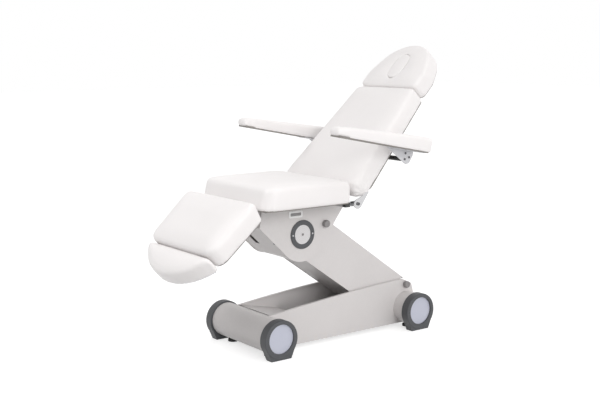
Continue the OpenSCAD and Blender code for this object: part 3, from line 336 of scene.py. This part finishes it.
def finish(name, base, tone, rough, metallic=0.0, grain=900.0, bump=0.06, worn=None, rub=0.5, cloud=4.0):
    """A material: base and tone colours, roughness range, grain, and a worn colour on the edges."""
    material = bpy.data.materials.new(name)
    material.use_nodes = True
    tree = material.node_tree
    shader = tree.nodes["Principled BSDF"]
    shader.inputs["Metallic"].default_value = metallic
    broad = place_group(tree, cloud_group, Scale=cloud)
    colour = colour_mix(tree, broad.outputs["Mask"], base, tone)
    if worn:
        edge = place_group(tree, rub_group, Amount=rub)
        colour = colour_mix(tree, edge.outputs["Mask"], colour, worn)
    tree.links.new(colour, shader.inputs["Base Color"])
    shine = place_group(tree, cloud_group, Scale=cloud * shine_cloud_share, Low=rough[0], High=rough[1])
    tree.links.new(shine.outputs["Mask"], shader.inputs["Roughness"])
    bumps = tree.nodes.new("ShaderNodeBump")
    bumps.inputs["Strength"].default_value = bump
    bumps.inputs["Distance"].default_value = grain_depth
    height = place_group(tree, grain_group, Scale=grain)
    tree.links.new(height.outputs["Height"], bumps.inputs["Height"])
    tree.links.new(bumps.outputs["Normal"], shader.inputs["Normal"])
    finishes[name] = material
    return material


print("finish builder")

# %% [markdown]
# The metalwork has a light grey powder coat, baked on, with a faint orange-peel surface. Feet, rings
# and knobs are moulded plastics in darker greys. The discs in the feet are a paler, bluish plastic.
# The colours are linear values, so a mid grey on screen is a smaller number here.
# %% Paint and plastic finishes
finish("powder_coat", (0.700, 0.674, 0.668), (0.668, 0.643, 0.637), (0.38, 0.5),
       grain=700.0, bump=0.12, worn=(0.50, 0.49, 0.48), rub=0.35)
finish("dark_plastic", (0.062, 0.065, 0.071), (0.071, 0.074, 0.080), (0.42, 0.55),
       grain=1300.0, bump=0.18, worn=(0.16, 0.165, 0.175), rub=0.6)
finish("pale_disc", (0.56, 0.575, 0.66), (0.52, 0.54, 0.63), (0.36, 0.46), grain=1100.0, bump=0.1)
grey_cap = finish("grey_cap", (0.24, 0.228, 0.228), (0.27, 0.257, 0.257), (0.38, 0.5),
                  grain=1300.0, bump=0.14, worn=(0.36, 0.35, 0.35), rub=0.5)
finish("black_plastic", (0.018, 0.018, 0.019), (0.026, 0.026, 0.027), (0.42, 0.58),
       grain=1200.0, bump=0.2, worn=(0.07, 0.07, 0.07), rub=0.6)
finish("motor_grey", (0.10, 0.103, 0.108), (0.12, 0.123, 0.128), (0.45, 0.6),
       grain=1000.0, bump=0.2, worn=(0.2, 0.2, 0.21), rub=0.5)
finish("rubber", (0.022, 0.022, 0.023), (0.034, 0.034, 0.034), (0.68, 0.85),
       grain=500.0, bump=0.3, worn=(0.09, 0.09, 0.09), rub=0.8)
finish("badge_white", (0.88, 0.875, 0.875), (0.86, 0.855, 0.855), (0.25, 0.35), grain=1300.0, bump=0.08)
print(len(finishes), "finishes")

# %% [markdown]
# Steel differs from paint mostly by its metallic value, which makes its colour tint what it reflects.
# The boards are plywood under a tacked cloth, so the wood shows in no finished piece; the cloth's dark grey
# also paints the shade under the cushions' edges.
# %% Metal, wood and small fittings
finish("bright_steel", (0.60, 0.60, 0.61), (0.54, 0.54, 0.55), (0.24, 0.38),
       metallic=1.0, grain=420.0, bump=0.1, worn=(0.72, 0.72, 0.73), rub=0.5)
dark_steel = finish("dark_steel", (0.10, 0.10, 0.105), (0.14, 0.14, 0.145), (0.3, 0.42),
                    metallic=1.0, grain=600.0, bump=0.12)
finish("plywood", (0.40, 0.27, 0.155), (0.33, 0.215, 0.12), (0.6, 0.75), grain=260.0, bump=0.25, cloud=26.0)
# painted shade: this cloth's dark grey is a real cover cloth and also stands in for the shade line under
# the pads' edges
board_cloth_and_shade = finish("board_cloth_and_shade", (0.27, 0.255, 0.24), (0.24, 0.225, 0.21), (0.75, 0.9),
                     grain=700.0, bump=0.35, cloud=20.0)
dial_white = finish("dial_white", (0.70, 0.69, 0.695), (0.67, 0.66, 0.665), (0.3, 0.42), grain=1300.0)
zinc_paint = finish("zinc_paint", (0.66, 0.66, 0.68), (0.60, 0.60, 0.62), (0.36, 0.5),
                    metallic=0.25, grain=500.0, bump=0.12, worn=(0.5, 0.5, 0.5), rub=0.4)
panel_grey = finish("panel_grey", (0.26, 0.255, 0.255), (0.30, 0.295, 0.295), (0.4, 0.5),
                    grain=1300.0, bump=0.08)
print(len(finishes), "finishes")

# %% [markdown]
# The white dial in the ring is a turned face with fine grooves, whose shade is painted here as faint darker
# rings. The distance from its middle, sent through a ping-pong, rises and falls evenly; a narrow part of
# that makes each ring.
# %% Painted shade of the grooves on the dial
ring_step = 0.0045
ring_starts = 0.0038
groove_shade_share = 0.5
groove_shade_colour = (0.50, 0.495, 0.50)
dial_low, dial_high = box_corners("ring_discs")
dial_middle = (dial_low + dial_high) / 2
tree = dial_white.node_tree
shader = tree.nodes["Principled BSDF"]
apart = tree.nodes.new("ShaderNodeSeparateXYZ")
tree.links.new(object_place(tree), apart.inputs[0])
across = math_node(tree, "SUBTRACT", apart.outputs["Y"], dial_middle.y)
upward = math_node(tree, "SUBTRACT", apart.outputs["Z"], dial_middle.z)
across_squared = math_node(tree, "MULTIPLY", across, across)
upward_squared = math_node(tree, "MULTIPLY", upward, upward)
radius = math_node(tree, "SQRT", math_node(tree, "ADD", across_squared, upward_squared))
line = math_node(tree, "GREATER_THAN", math_node(tree, "PINGPONG", radius, ring_step), ring_starts)
painted_groove_shade = math_node(tree, "MULTIPLY", line, groove_shade_share)
plain = shader.inputs["Base Color"].links[0].from_socket
# painted shade: darker rings where the turned grooves would hold shade
tree.links.new(colour_mix(tree, painted_groove_shade, plain, groove_shade_colour), shader.inputs["Base Color"])
print("dial rings about", [round(c, 3) for c in dial_middle])

# %% [markdown]
# The upholstery starts as a finish like the others. It then gets a thin clear coat, the soft sheen of
# vinyl, and its bumps come from the leather group in place of the grain.
# %% Upholstery finish
coat_weight = 0.12
coat_roughness = 0.32
pebble_scale = 620.0
pebble_strength = 0.22
pebble_depth = 0.0003
upholstery = finish("upholstery", (0.875, 0.853, 0.848), (0.855, 0.832, 0.826), (0.36, 0.46))
tree = upholstery.node_tree
shader = tree.nodes["Principled BSDF"]
shader.inputs["Coat Weight"].default_value = coat_weight
shader.inputs["Coat Roughness"].default_value = coat_roughness
skin = place_group(tree, leather_group, Scale=pebble_scale)
pebbles = tree.nodes.new("ShaderNodeBump")
pebbles.inputs["Strength"].default_value = pebble_strength
pebbles.inputs["Distance"].default_value = pebble_depth
tree.links.new(skin.outputs["Height"], pebbles.inputs["Height"])
tree.links.new(pebbles.outputs["Normal"], shader.inputs["Normal"])
print("upholstery finish")

# %% [markdown]
# The CAD nodes that stay are rigid parts whose shape is already right. Each takes the finish of the
# material slot that the record gives it, apart from the dial's discs and the boards, which have a
# finish of their own. Soft solids are only stand-ins, and are replaced further on.
# %% Dress the CAD nodes
own_finish = {"ring_discs": dial_white}
# the boards' dark cloth also paints the shade under the cushions' edges
for board in ("seat_board", "back_board", "head_board", "leg_board"):
    own_finish[board] = board_cloth_and_shade
for part in frame["record"]["subparts"]:
    name = part["node"]
    materials = nodes[name].data.materials
    materials.clear()
    materials.append(own_finish.get(name, finishes[part["material_slot"]]))
print("dressed", len(nodes), "nodes")

# %% [markdown]
# A few helpers come before the new pieces: one applies modifiers, one links a mesh as an object, one
# takes the hull of CAD nodes, one smooths, and one holds the last steps that most pieces share.
# %% Helpers for meshes
weld = 1e-4
fine_weld = 1e-6


def evaluated_mesh(piece):
    """The piece's mesh with its modifiers applied."""
    depsgraph = bpy.context.evaluated_depsgraph_get()
    return bpy.data.meshes.new_from_object(piece.evaluated_get(depsgraph))


def apply_modifiers(piece):
    """Bakes the piece's modifiers into its mesh and removes them."""
    mesh = evaluated_mesh(piece)
    old = piece.data
    piece.modifiers.clear()
    piece.data = mesh
    bpy.data.meshes.remove(old)


def linked_object(name, bm):
    """A new object in the scene with the bmesh as its mesh."""
    mesh = bpy.data.meshes.new(name)
    bm.to_mesh(mesh)
    bm.free()
    piece = bpy.data.objects.new(name, mesh)
    bpy.context.scene.collection.objects.link(piece)
    return piece


def make_hull(bm):
    """Turns loose points into their convex hull; points inside it are dropped."""
    bmesh.ops.convex_hull(bm, input=bm.verts)
    bmesh.ops.delete(bm, geom=[v for v in bm.verts if not v.link_faces], context="VERTS")


def node_hull(*names):
    """The convex hull of one or more CAD nodes as a bmesh."""
    bm = bmesh.new()
    for name in names:
        for v in nodes[name].data.vertices:
            bm.verts.new(v.co)
    bmesh.ops.remove_doubles(bm, verts=bm.verts, dist=weld)
    make_hull(bm)
    bmesh.ops.recalc_face_normals(bm, faces=bm.faces)
    return bm


def relax(mesh, rounds, picked=None):
    """Smooths the mesh by some rounds, or only the vertices that the test picks."""
    bm = bmesh.new()
    bm.from_mesh(mesh)
    bm.normal_update()
    verts = [v for v in bm.verts if picked is None or picked(v)]
    for _ in range(rounds):
        bmesh.ops.smooth_vert(bm, verts=verts, factor=0.5, use_axis_x=True, use_axis_y=True,
                              use_axis_z=True)
    bm.to_mesh(mesh)
    bm.free()


def dress(piece, material, body, crease_angle=None):
    """Gives a piece smooth faces, its finish, and the body that it goes with."""
    for face in piece.data.polygons:
        face.use_smooth = True
    if crease_angle:
        piece.data.set_sharp_from_angle(angle=crease_angle)
    piece.data.materials.clear()
    piece.data.materials.append(material)
    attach(piece, body)


print("mesh helpers")

# %% [markdown]
# Each cushion is a block of foam under a tight skin. The way here is the one an upholsterer would
# recognise: take the foam's shape, lay an even net of faces over it, and let a cloth simulation with
# a little pressure pull the skin taut. The net comes from a voxel remesh of the foam's convex hull,
# which leaves small steps, so every point is put back on the hull before the cloth is blown up.
# %% Even skin
net_rounds_before = 5
net_rounds_after = 2


def even_skin(name, solids, net, opening=None):
    """An even net of faces over the hull of some CAD solids; opening is a piece to cut out of it."""
    piece = linked_object(name, node_hull(*solids))
    if opening:
        cut = piece.modifiers.new("opening", "BOOLEAN")
        cut.operation = "DIFFERENCE"
        cut.object = opening
        apply_modifiers(piece)
    bm = bmesh.new()
    bm.from_mesh(piece.data)
    foam = BVHTree.FromBMesh(bm)
    bm.free()
    remesh = piece.modifiers.new("even", "REMESH")
    remesh.mode = "VOXEL"
    remesh.voxel_size = net
    apply_modifiers(piece)
    relax(piece.data, net_rounds_before)
    for v in piece.data.vertices:
        v.co = foam.find_nearest(v.co)[0]
    relax(piece.data, net_rounds_after)
    return piece


print("skin helper")

# %% [markdown]
# Blender's cloth gives the swelling. The side that is stapled to the board is pinned and gravity is
# off. Of the result only the outward swell is kept, evened out over the net and held under a cap, so
# that neighbouring cushions never meet. The underside then moves up by a few millimetres, which lets
# the board's cloth cover it, and the broad top is relaxed alone: that takes small wrinkles out and
# leaves the edges as they are.
# %% Swelling
air_pressure = 2.5
swell_cap = 0.005
swell_frames = 14
evening_rounds = 14
stapled_height = 0.014
underside_lift = 0.003
facing_up = -0.97


def blow_up(piece, stapled):
    """Runs the cloth simulation with the stapled vertices pinned, and keeps its last frame."""
    pinned = piece.vertex_groups.new(name="stapled")
    pinned.add(stapled, 1.0, "REPLACE")
    cloth = piece.modifiers.new("skin", "CLOTH")
    cloth.settings.quality = 4
    cloth.settings.mass = 0.3
    cloth.settings.tension_stiffness = 30
    cloth.settings.compression_stiffness = 30
    cloth.settings.bending_stiffness = 6
    cloth.settings.use_pressure = True
    cloth.settings.uniform_pressure_force = air_pressure
    cloth.settings.vertex_group_mass = "stapled"
    cloth.settings.effector_weights.gravity = 0.0
    cloth.point_cache.frame_start = 1
    cloth.point_cache.frame_end = swell_frames
    for step in range(1, swell_frames + 1):
        bpy.context.scene.frame_set(step)
    apply_modifiers(piece)
    bpy.context.scene.frame_set(1)
    piece.vertex_groups.clear()


def settle(piece, start_places, start_normals):
    """Keeps only the outward swell of each point, evened out with its neighbours and capped."""
    mesh = piece.data
    swell = [
        min(max((v.co - first).dot(normal), 0.0), swell_cap)
        for v, first, normal in zip(mesh.vertices, start_places, start_normals)
    ]
    pairs = [tuple(edge.vertices) for edge in mesh.edges]
    for _ in range(evening_rounds):
        total = list(swell)
        count = [1] * len(swell)
        for one, other in pairs:
            total[one] += swell[other]
            total[other] += swell[one]
            count[one] += 1
            count[other] += 1
        swell = [value / number for value, number in zip(total, count)]
    for v, first, normal, amount in zip(mesh.vertices, start_places, start_normals, swell):
        v.co = first + normal * amount
    print(piece.name, "swelled by at most", round(max(swell) * 1000, 1), "mm")


def inflate(piece, down, calm):
    """Swells the skin; down is the way that its stapled side faces, calm the rounds for its top."""
    lowest = max(v.co.dot(down) for v in piece.data.vertices)
    start_places = [v.co.copy() for v in piece.data.vertices]
    start_normals = [v.normal.copy() for v in piece.data.vertices]
    stapled = [v.index for v in piece.data.vertices if v.co.dot(down) > lowest - stapled_height]
    blow_up(piece, stapled)
    settle(piece, start_places, start_normals)
    for v in piece.data.vertices:
        below = v.co.dot(down) - (lowest - underside_lift)
        if below > 0:
            v.co -= down * below
    relax(piece.data, calm, lambda v: v.normal.dot(down) < facing_up)
    relax(piece.data, 1)


print("swelling helpers")

# %% [markdown]
# The way that each board faces follows from the chair's pose: the seat is level, the back leans by
# 45.5 degrees, the leg rest hangs by 42.3 degrees, and the armrests rise to the front by 10.8 degrees.
# %% Ways that the boards face
back_lean = math.radians(45.5)
leg_drop = math.radians(42.3)
armrest_rise = math.radians(10.8)
seat_down = Vector((0, 0, -1))
back_down = Vector((0, math.sin(back_lean), -math.cos(back_lean)))
leg_down = Vector((0, math.sin(leg_drop), -math.cos(leg_drop)))
leg_up = -leg_down
armrest_down = Vector((0, -math.sin(armrest_rise), -math.cos(armrest_rise)))
back_up_along = Vector((0, math.cos(back_lean), math.sin(back_lean)))
leg_down_along = Vector((0, -math.cos(leg_drop), -math.sin(leg_drop)))
print("back faces", [round(c, 2) for c in back_down], "leg faces", [round(c, 2) for c in leg_down])

# %% [markdown]
# The head rest has an oval opening for the face, filled by a plug that lifts out. The opening is cut
# with a stretched cylinder: its middle and its size come from the plug's own solid, grown by the gap.
# %% Oval cutter
opening_gap = 0.0025
cutter_height = 0.4
plug_verts = [v.co.copy() for v in nodes["face_plug"].data.vertices]
plug_middle = sum(plug_verts, Vector()) / len(plug_verts)
plug_half_width = max(abs(v.x) for v in plug_verts)
plug_half_length = max((v - plug_middle).dot(back_up_along) for v in plug_verts)
cutter_bm = bmesh.new()
bmesh.ops.create_cone(cutter_bm, cap_ends=True, segments=64, radius1=1.0, radius2=1.0, depth=cutter_height)
oval = (plug_half_width + opening_gap, plug_half_length + opening_gap, 1.0)
bmesh.ops.scale(cutter_bm, vec=oval, verts=cutter_bm.verts)
to_plug = Matrix.Translation(plug_middle) @ Matrix.Rotation(back_lean, 4, "X")
bmesh.ops.transform(cutter_bm, matrix=to_plug, verts=cutter_bm.verts)
cutter = linked_object("oval_cutter", cutter_bm)
print("oval", round(plug_half_width, 3), "by", round(plug_half_length, 3), "m")

# %% [markdown]
# One row describes each soft piece: the CAD nodes under its skin, of which it replaces the first, the
# body that it rides on, the way its stapled side faces, the size of its net, the rounds that calm its
# top, and how full the padding is. The armrests' pads wrap round their boards, so these have two nodes.
# %% Cushions
Soft = namedtuple("Soft", "name solids body down net calm fill")
soft_pieces = [
    Soft("seat_pad", ["seat_cushion"], "carrier", seat_down, 0.010, 16, 0.85),
    Soft("back_pad", ["back_cushion"], "back", back_down, 0.010, 16, 0.85),
    Soft("head_pad", ["head_cushion"], "head_rest", back_down, 0.007, 6, 0.85),
    Soft("leg_pad", ["leg_cushion"], "leg_rest", leg_down, 0.009, 16, 0.85),
    Soft("foot_pad", ["foot_pad_cushion"], "foot_pad", leg_down, 0.008, 10, 0.85),
]
for label in ("left", "right"):
    body = "armrest_" + label
    solids = [body + "_pad", body + "_board"]
    soft_pieces.append(Soft("armrest_pad_" + label, solids, body, armrest_down, 0.006, 6, 0.9))
soft_pieces.append(Soft("face_pad", ["face_plug"], "face_plug", back_down, 0.005, 4, 0.9))
pads = {}
for soft in soft_pieces:
    pad = even_skin(soft.name, soft.solids, soft.net, cutter if soft.name == "head_pad" else None)
    inflate(pad, soft.down, soft.calm)
    pads[soft.name] = pad
bpy.data.objects.remove(cutter)
print(len(pads), "pads")

# %% [markdown]
# The leg rest needs more than swelling. Its upper end reaches up to the seat, so the part nearest the
# hinge is drawn out: fully at its end and not at all beyond a limit, and more near the top than near
# the board.
# %% Reach of the leg rest
leg_hinge = Vector((0.0, -0.4216, 0.738))
reach = 0.026
reach_limit = 0.11
low_share = 0.3
rise_from = 0.03
rise_height = 0.06
leg_verts = pads["leg_pad"].data.vertices
leg_end = min((v.co - leg_hinge).dot(leg_down_along) for v in leg_verts)
for v in leg_verts:
    along = (v.co - leg_hinge).dot(leg_down_along)
    share = min((reach_limit - along) / (reach_limit - leg_end), 1.0)
    rise = min(max(((v.co - leg_hinge).dot(leg_up) - rise_from) / rise_height, 0.0), 1.0)
    if share > 0:
        v.co -= leg_down_along * reach * share * (low_share + (1 - low_share) * rise)
leg_end -= reach
print("leg pad now starts", round(leg_end * 1000), "mm from its hinge")

# %% [markdown]
# The armrests' front tips are relaxed until they are round.
# %% Soft pieces finished
armrest_tip = -0.045
tip_rounds = 24
for label in ("left", "right"):
    relax(pads["armrest_pad_" + label].data, tip_rounds, lambda v: v.co.y < armrest_tip)
for soft in soft_pieces:
    pad = pads[soft.name]
    smooth = pad.modifiers.new("smooth", "SUBSURF")
    smooth.levels = 1
    smooth.render_levels = 1
    apply_modifiers(pad)
    dress(pad, upholstery, soft.body)
    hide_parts(soft.solids[0])
    print(soft.name, len(pad.data.polygons), "faces")

# %% [markdown]
# The skin over the lower corners of the back is gathered. A cosine of the angle round the corner gives
# a fan of folds, which start a little way off and fade out with the distance.
# %% Gathers
gather_y = 0.155
gather_z = 0.800
gather_reach = 0.16
gather_folds = 9
gather_depth = 0.0034
gather_start = 0.001
gather_full = 0.02


def gather(pad, corner):
    """Presses a fan of shallow folds into the skin around a corner."""
    moved = 0
    normals = [v.normal.copy() for v in pad.data.vertices]
    for v, normal in zip(pad.data.vertices, normals):
        offset = v.co - corner
        distance = offset.length
        if distance > gather_reach or distance < gather_start:
            continue
        angle = math.atan2(offset.dot(back_down), offset.dot(back_up_along))
        fade = (1 - distance / gather_reach) ** 2 * min(distance / gather_full, 1.0)
        v.co += normal * math.cos(angle * gather_folds) * gather_depth * fade
        moved += 1
    print(pad.name, "gathered at", moved, "points")


_, back_high = box_corners("back_cushion")
for side in (-1, 1):
    gather(pads["back_pad"], Vector((side * back_high.x, gather_y, gather_z)))

# %% [markdown]
# A seam is a fine raised thread line. Its route is given roughly, cut into short steps, and each point
# is then put on the cushion's nearest surface, a little sunk, so that it follows the swell.
# %% Thread
thread_step = 0.004
thread_sunk = 0.35


def thread(name, pad, body, route, radius):
    """A closed round thread laid on a pad along a rough route."""
    skin = BVHTree.FromObject(pad, bpy.context.evaluated_depsgraph_get())
    laid = []
    for first, last in zip(route, route[1:]):
        steps = max(1, round((last - first).length / thread_step))
        laid += [first.lerp(last, step / steps) for step in range(steps)]
    laid.append(route[-1])
    curve = bpy.data.curves.new(name, "CURVE")
    curve.dimensions = "3D"
    curve.bevel_depth = radius
    curve.bevel_resolution = 2
    curve.use_fill_caps = True
    spline = curve.splines.new("POLY")
    spline.points.add(len(laid) - 1)
    for point, place in zip(spline.points, laid):
        near, normal, _, _ = skin.find_nearest(place)
        point.co = (*(near - normal * radius * thread_sunk), 1.0)
    holder = bpy.data.objects.new(name + "_route", curve)
    bpy.context.scene.collection.objects.link(holder)
    bpy.context.view_layer.update()
    bm = bmesh.new()
    bm.from_mesh(evaluated_mesh(holder))
    bmesh.ops.remove_doubles(bm, verts=bm.verts, dist=fine_weld)
    bmesh.ops.recalc_face_normals(bm, faces=bm.faces)
    bpy.data.objects.remove(holder)
    dress(linked_object(name, bm), upholstery, body)


print("thread helper")

# %% [markdown]
# The leg rest has three seams near the seat: one down each side, and one across its top.
# %% Leg seams
side_seam_inset = 0.019
side_seam_x = 0.305
side_seam_heights = (0.104, 0.07, 0.035)
side_seam_radius = 0.0017
top_seam_inset = 0.020
top_seam_x = 0.272
top_seam_height = 0.125
top_seam_radius = 0.0015
for side, label in sides:
    edge = Vector((side * side_seam_x, 0, 0)) + leg_hinge + leg_down_along * (leg_end + side_seam_inset)
    route = [edge + leg_up * height for height in side_seam_heights]
    thread("leg_seam_" + label, pads["leg_pad"], "leg_rest", route, side_seam_radius)
edge = leg_hinge + leg_down_along * (leg_end + top_seam_inset) + leg_up * top_seam_height
route = [edge + Vector((side * top_seam_x, 0, 0)) for side in (-1, 1)]
thread("leg_seam_across", pads["leg_pad"], "leg_rest", route, top_seam_radius)
print("leg seams")

# %% [markdown]
# Knobs and screws are turned parts. Each is a short outline of radius and height that is spun round
# its own line and then moved to its place, so one function makes all of them. The outlines are shares
# of the piece's radius and height, which lets one outline serve several sizes.
# %% Turning
turned_crease = math.radians(34)


def turned(name, outline, place, axis, body, material, segments=48):
    """Spins an outline of (radius, height) pairs round an axis that starts at a place."""
    bm = bmesh.new()
    verts = [bm.verts.new((radius, 0.0, height)) for radius, height in outline]
    edges = [bm.edges.new(pair) for pair in zip(verts, verts[1:])]
    bmesh.ops.spin(bm, geom=verts + edges, axis=(0, 0, 1), cent=(0, 0, 0), angle=math.tau,
                   steps=segments, use_merge=True)
    bmesh.ops.remove_doubles(bm, verts=bm.verts, dist=fine_weld)
    bmesh.ops.recalc_face_normals(bm, faces=bm.faces)
    turn = Vector((0, 0, 1)).rotation_difference(axis).to_matrix().to_4x4()
    bmesh.ops.transform(bm, matrix=Matrix.Translation(place) @ turn, verts=bm.verts)
    piece = linked_object(name, bm)
    dress(piece, material, body, turned_crease)
    return piece


screw_foot = -0.0004
screw_shares = ((1.0, 0.3), (0.9, 0.75), (0.62, 1.0), (0.42, 1.0), (0.38, 0.35), (0.0, 0.3))
knob_shares = (
    (0.0, 0.0), (0.86, 0.0), (0.9, 0.12), (1.0, 0.2), (1.0, 0.72), (0.95, 0.88), (0.84, 0.97),
    (0.72, 1.0), (0.66, 0.96), (0.2, 0.93), (0.0, 0.93),
)


def screw_outline(radius, height):
    """A low domed head with a round dimple, its foot a little below the face that it sits on."""
    foot = [(0.0, screw_foot), (radius * 0.96, screw_foot)]
    return foot + [(radius * wide, height * high) for wide, high in screw_shares]


def knob_outline(radius, height):
    """A grip knob: a slim neck, a rounded rim and a shallow dished face."""
    return [(radius * wide, height * high) for wide, high in knob_shares]


print("turning helpers")

# %% [markdown]
# The CAD model has two nodes of knobs, one on the base and one on the carrier. The turned knobs take
# their radius and place from those solids, and start at the outer face of the panel behind them.
# %% Knobs
for node, body, panel in (
    ("lower_knobs", "base", "base_panel_left"),
    ("upper_knobs", "carrier", "carrier_plate_left"),
):
    low, high = box_corners(node)
    middle = (low + high) / 2
    face_x = max(v.co.x for v in nodes[panel].data.vertices)
    outline = knob_outline((high.z - low.z) / 2, high.x - face_x)
    for side, label in sides:
        place = Vector((side * face_x, middle.y, middle.z))
        knob = turned(node + "_" + label, outline, place, Vector((side, 0, 0)), body, grey_cap)
        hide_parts(node)
print("four knobs")

# %% [markdown]
# The dial has a screw in its middle, and the ring has two small ones half way between its inner and
# its outer edge.
# %% Dial and ring screws
dial_screw = screw_outline(0.0065, 0.002)
ring_screw = screw_outline(0.0042, 0.0012)
ring_low, ring_high = box_corners("ring_covers")
ring_middle = (ring_low + ring_high) / 2
ring_band = ((ring_high.y - ring_low.y) / 2 + (dial_high.y - dial_low.y) / 2) / 2
for side, label in sides:
    out = Vector((side, 0, 0))
    place = Vector((side * dial_high.x, dial_middle.y, dial_middle.z))
    turned("dial_screw_" + label, dial_screw, place, out, "carrier", grey_cap)
    for step, end_name in ((-1, "_front"), (1, "_rear")):
        place = Vector((side * ring_high.x, ring_middle.y + step * ring_band, ring_middle.z))
        turned("ring_screw_" + label + end_name, ring_screw, place, out, "carrier", zinc_paint)
print("dial and ring screws")

# %% [markdown]
# The other fittings are flat plates. Each is the hull of a few corners, given as (y, z), between two x
# places, with a fine bevel that catches the light as a real edge does.
# %% Plates
flat = math.radians(1)
bevel_from = math.radians(60)
plate_crease = math.radians(30)
plate_edge = 0.0008
circle_points = 20


def plate(name, corners, inner, outer, body, material, edge=plate_edge):
    """A flat plate between two x places; its outline is the hull of (y, z) corners."""
    bm = bmesh.new()
    for x in (inner, outer):
        for y, z in corners:
            bm.verts.new((x, y, z))
    make_hull(bm)
    bmesh.ops.dissolve_limit(bm, angle_limit=flat, verts=bm.verts, edges=bm.edges)
    sharp = [e for e in bm.edges if e.calc_face_angle(0.0) > bevel_from]
    bmesh.ops.bevel(bm, geom=sharp, affect="EDGES", offset=edge, segments=2, profile=0.5, material=-1,
                    clamp_overlap=True)
    bmesh.ops.recalc_face_normals(bm, faces=bm.faces)
    piece = linked_object(name, bm)
    dress(piece, material, body, plate_crease)
    return piece


def circle(middle, radius):
    """Points of a full circle in (y, z), for a round end of a plate."""
    turns = [math.tau * step / circle_points for step in range(circle_points)]
    return [(middle[0] + radius * math.cos(turn), middle[1] + radius * math.sin(turn)) for turn in turns]


print("plate helpers")

# %% [markdown]
# The badge's frame holds a bare panel. Its corners lie inside the frame's box by the width of the rim.
# %% Badge panel
badge_rim = 0.009
panel_thick = 0.0008
panel_edge = 0.0002
badge_low, badge_high = box_corners("badge_frame")
panel_corners = [
    (y, z)
    for y in (badge_low.y + badge_rim, badge_high.y - badge_rim)
    for z in (badge_low.z + badge_rim, badge_high.z - badge_rim)
]
plate("badge_panel", panel_corners, badge_low.x, badge_low.x + panel_thick, "carrier", panel_grey,
      panel_edge)
print("badge panel")

# %% [markdown]
# An armrest's bracket is a folded sheet: an upright cheek beside the back, round about its hinge, and a
# flat flange under the armrest's board. The cheek replaces the bracket of the CAD model.
# %% Armrest brackets
cheek_inner = 0.330
cheek_outer = 0.334
flange_outer = 0.420
cheek_end = (0.4265, 0.9585)
cheek_end_radius = 0.0272
cheek_corners = [(0.288, 1.0305), (0.470, 0.975), (0.474, 0.9955)] + circle(cheek_end, cheek_end_radius)
flange_corners = [(0.288, 1.0311), (0.474, 0.9960), (0.288, 1.0275), (0.474, 0.9924)]
for side, label in sides:
    body = "armrest_" + label
    cheek = plate(body + "_cheek", cheek_corners, side * cheek_inner, side * cheek_outer, body,
                  zinc_paint)
    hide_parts(body + "_bracket")
    plate(body + "_flange", flange_corners, side * cheek_outer, side * flange_outer, body,
          zinc_paint)
print("armrest brackets")

# %% [markdown]
# Under each armrest a cloth covers the board. It is the board's own hull, a little smaller and one
# millimetre lower, so that it shows inside the edge of the pad as a dark line, which also paints the shade
# under the pad's edge.
# %% Undersides of the armrests
underside_scale = 0.965
underside_drop = 0.001
for label in ("left", "right"):
    body = "armrest_" + label
    bm = node_hull(body + "_board")
    middle = sum((v.co for v in bm.verts), Vector()) / len(bm.verts)
    back_in_place = Matrix.Translation(middle + armrest_down * underside_drop)
    shrink = back_in_place @ Matrix.Scale(underside_scale, 4) @ Matrix.Translation(-middle)
    bmesh.ops.transform(bm, matrix=shrink, verts=bm.verts)
    underside = linked_object(body + "_underside", bm)
    # painted shade: the dark sheet also stands for the shade under the armrest pad's edge
    underside.data.materials.append(board_cloth_and_shade)
    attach(underside, body)
    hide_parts(body + "_board")
print("armrest undersides")

# %% [markdown]
# The carrier's front cover is a bent sheet, so its two screws are put on its nearest surface and take
# their axis from the normal there.
# %% Front cover screws
few_segments = 32
cover_screw = screw_outline(0.0055, 0.0018)
cover_screw_near = (0.1375, -0.2967, 0.545)
cover_bm = bmesh.new()
cover_bm.from_mesh(nodes["carrier_front_cover"].data)
cover_skin = BVHTree.FromBMesh(cover_bm)
cover_bm.free()
for side, label in sides:
    x, y, z = cover_screw_near
    place, normal, _, _ = cover_skin.find_nearest(Vector((side * x, y, z)))
    turned("cover_screw_" + label, cover_screw, place, normal, "carrier", dark_steel,
           few_segments)
print("front cover screws")

# %% [markdown]
# The last fittings are bolts: three in each armrest's cheek, and one at each of the back's hinges. They
# sit on outer faces, so only their y and z are given besides that face.
# %% Bolts of the armrests and of the back
armrest_bolt = screw_outline(0.0062, 0.0028)
armrest_bolt_places = ((0.4127, 0.958), (0.4181, 0.989), (0.4433, 0.966))
hinge_bolt = screw_outline(0.0085, 0.004)
hinge_face = 0.278
hinge_y = 0.1494
hinge_z = 0.740
for side, label in sides:
    out = Vector((side, 0, 0))
    body = "armrest_" + label
    for number, (y, z) in enumerate(armrest_bolt_places, 1):
        place = Vector((side * cheek_outer, y, z))
        turned(body + "_bolt_" + str(number), armrest_bolt, place, out, body, dark_steel,
               few_segments)
    place = Vector((side * hinge_face, hinge_y, hinge_z))
    turned("back_hinge_bolt_" + label, hinge_bolt, place, out, "carrier", dark_steel,
           few_segments)
print("bolts")
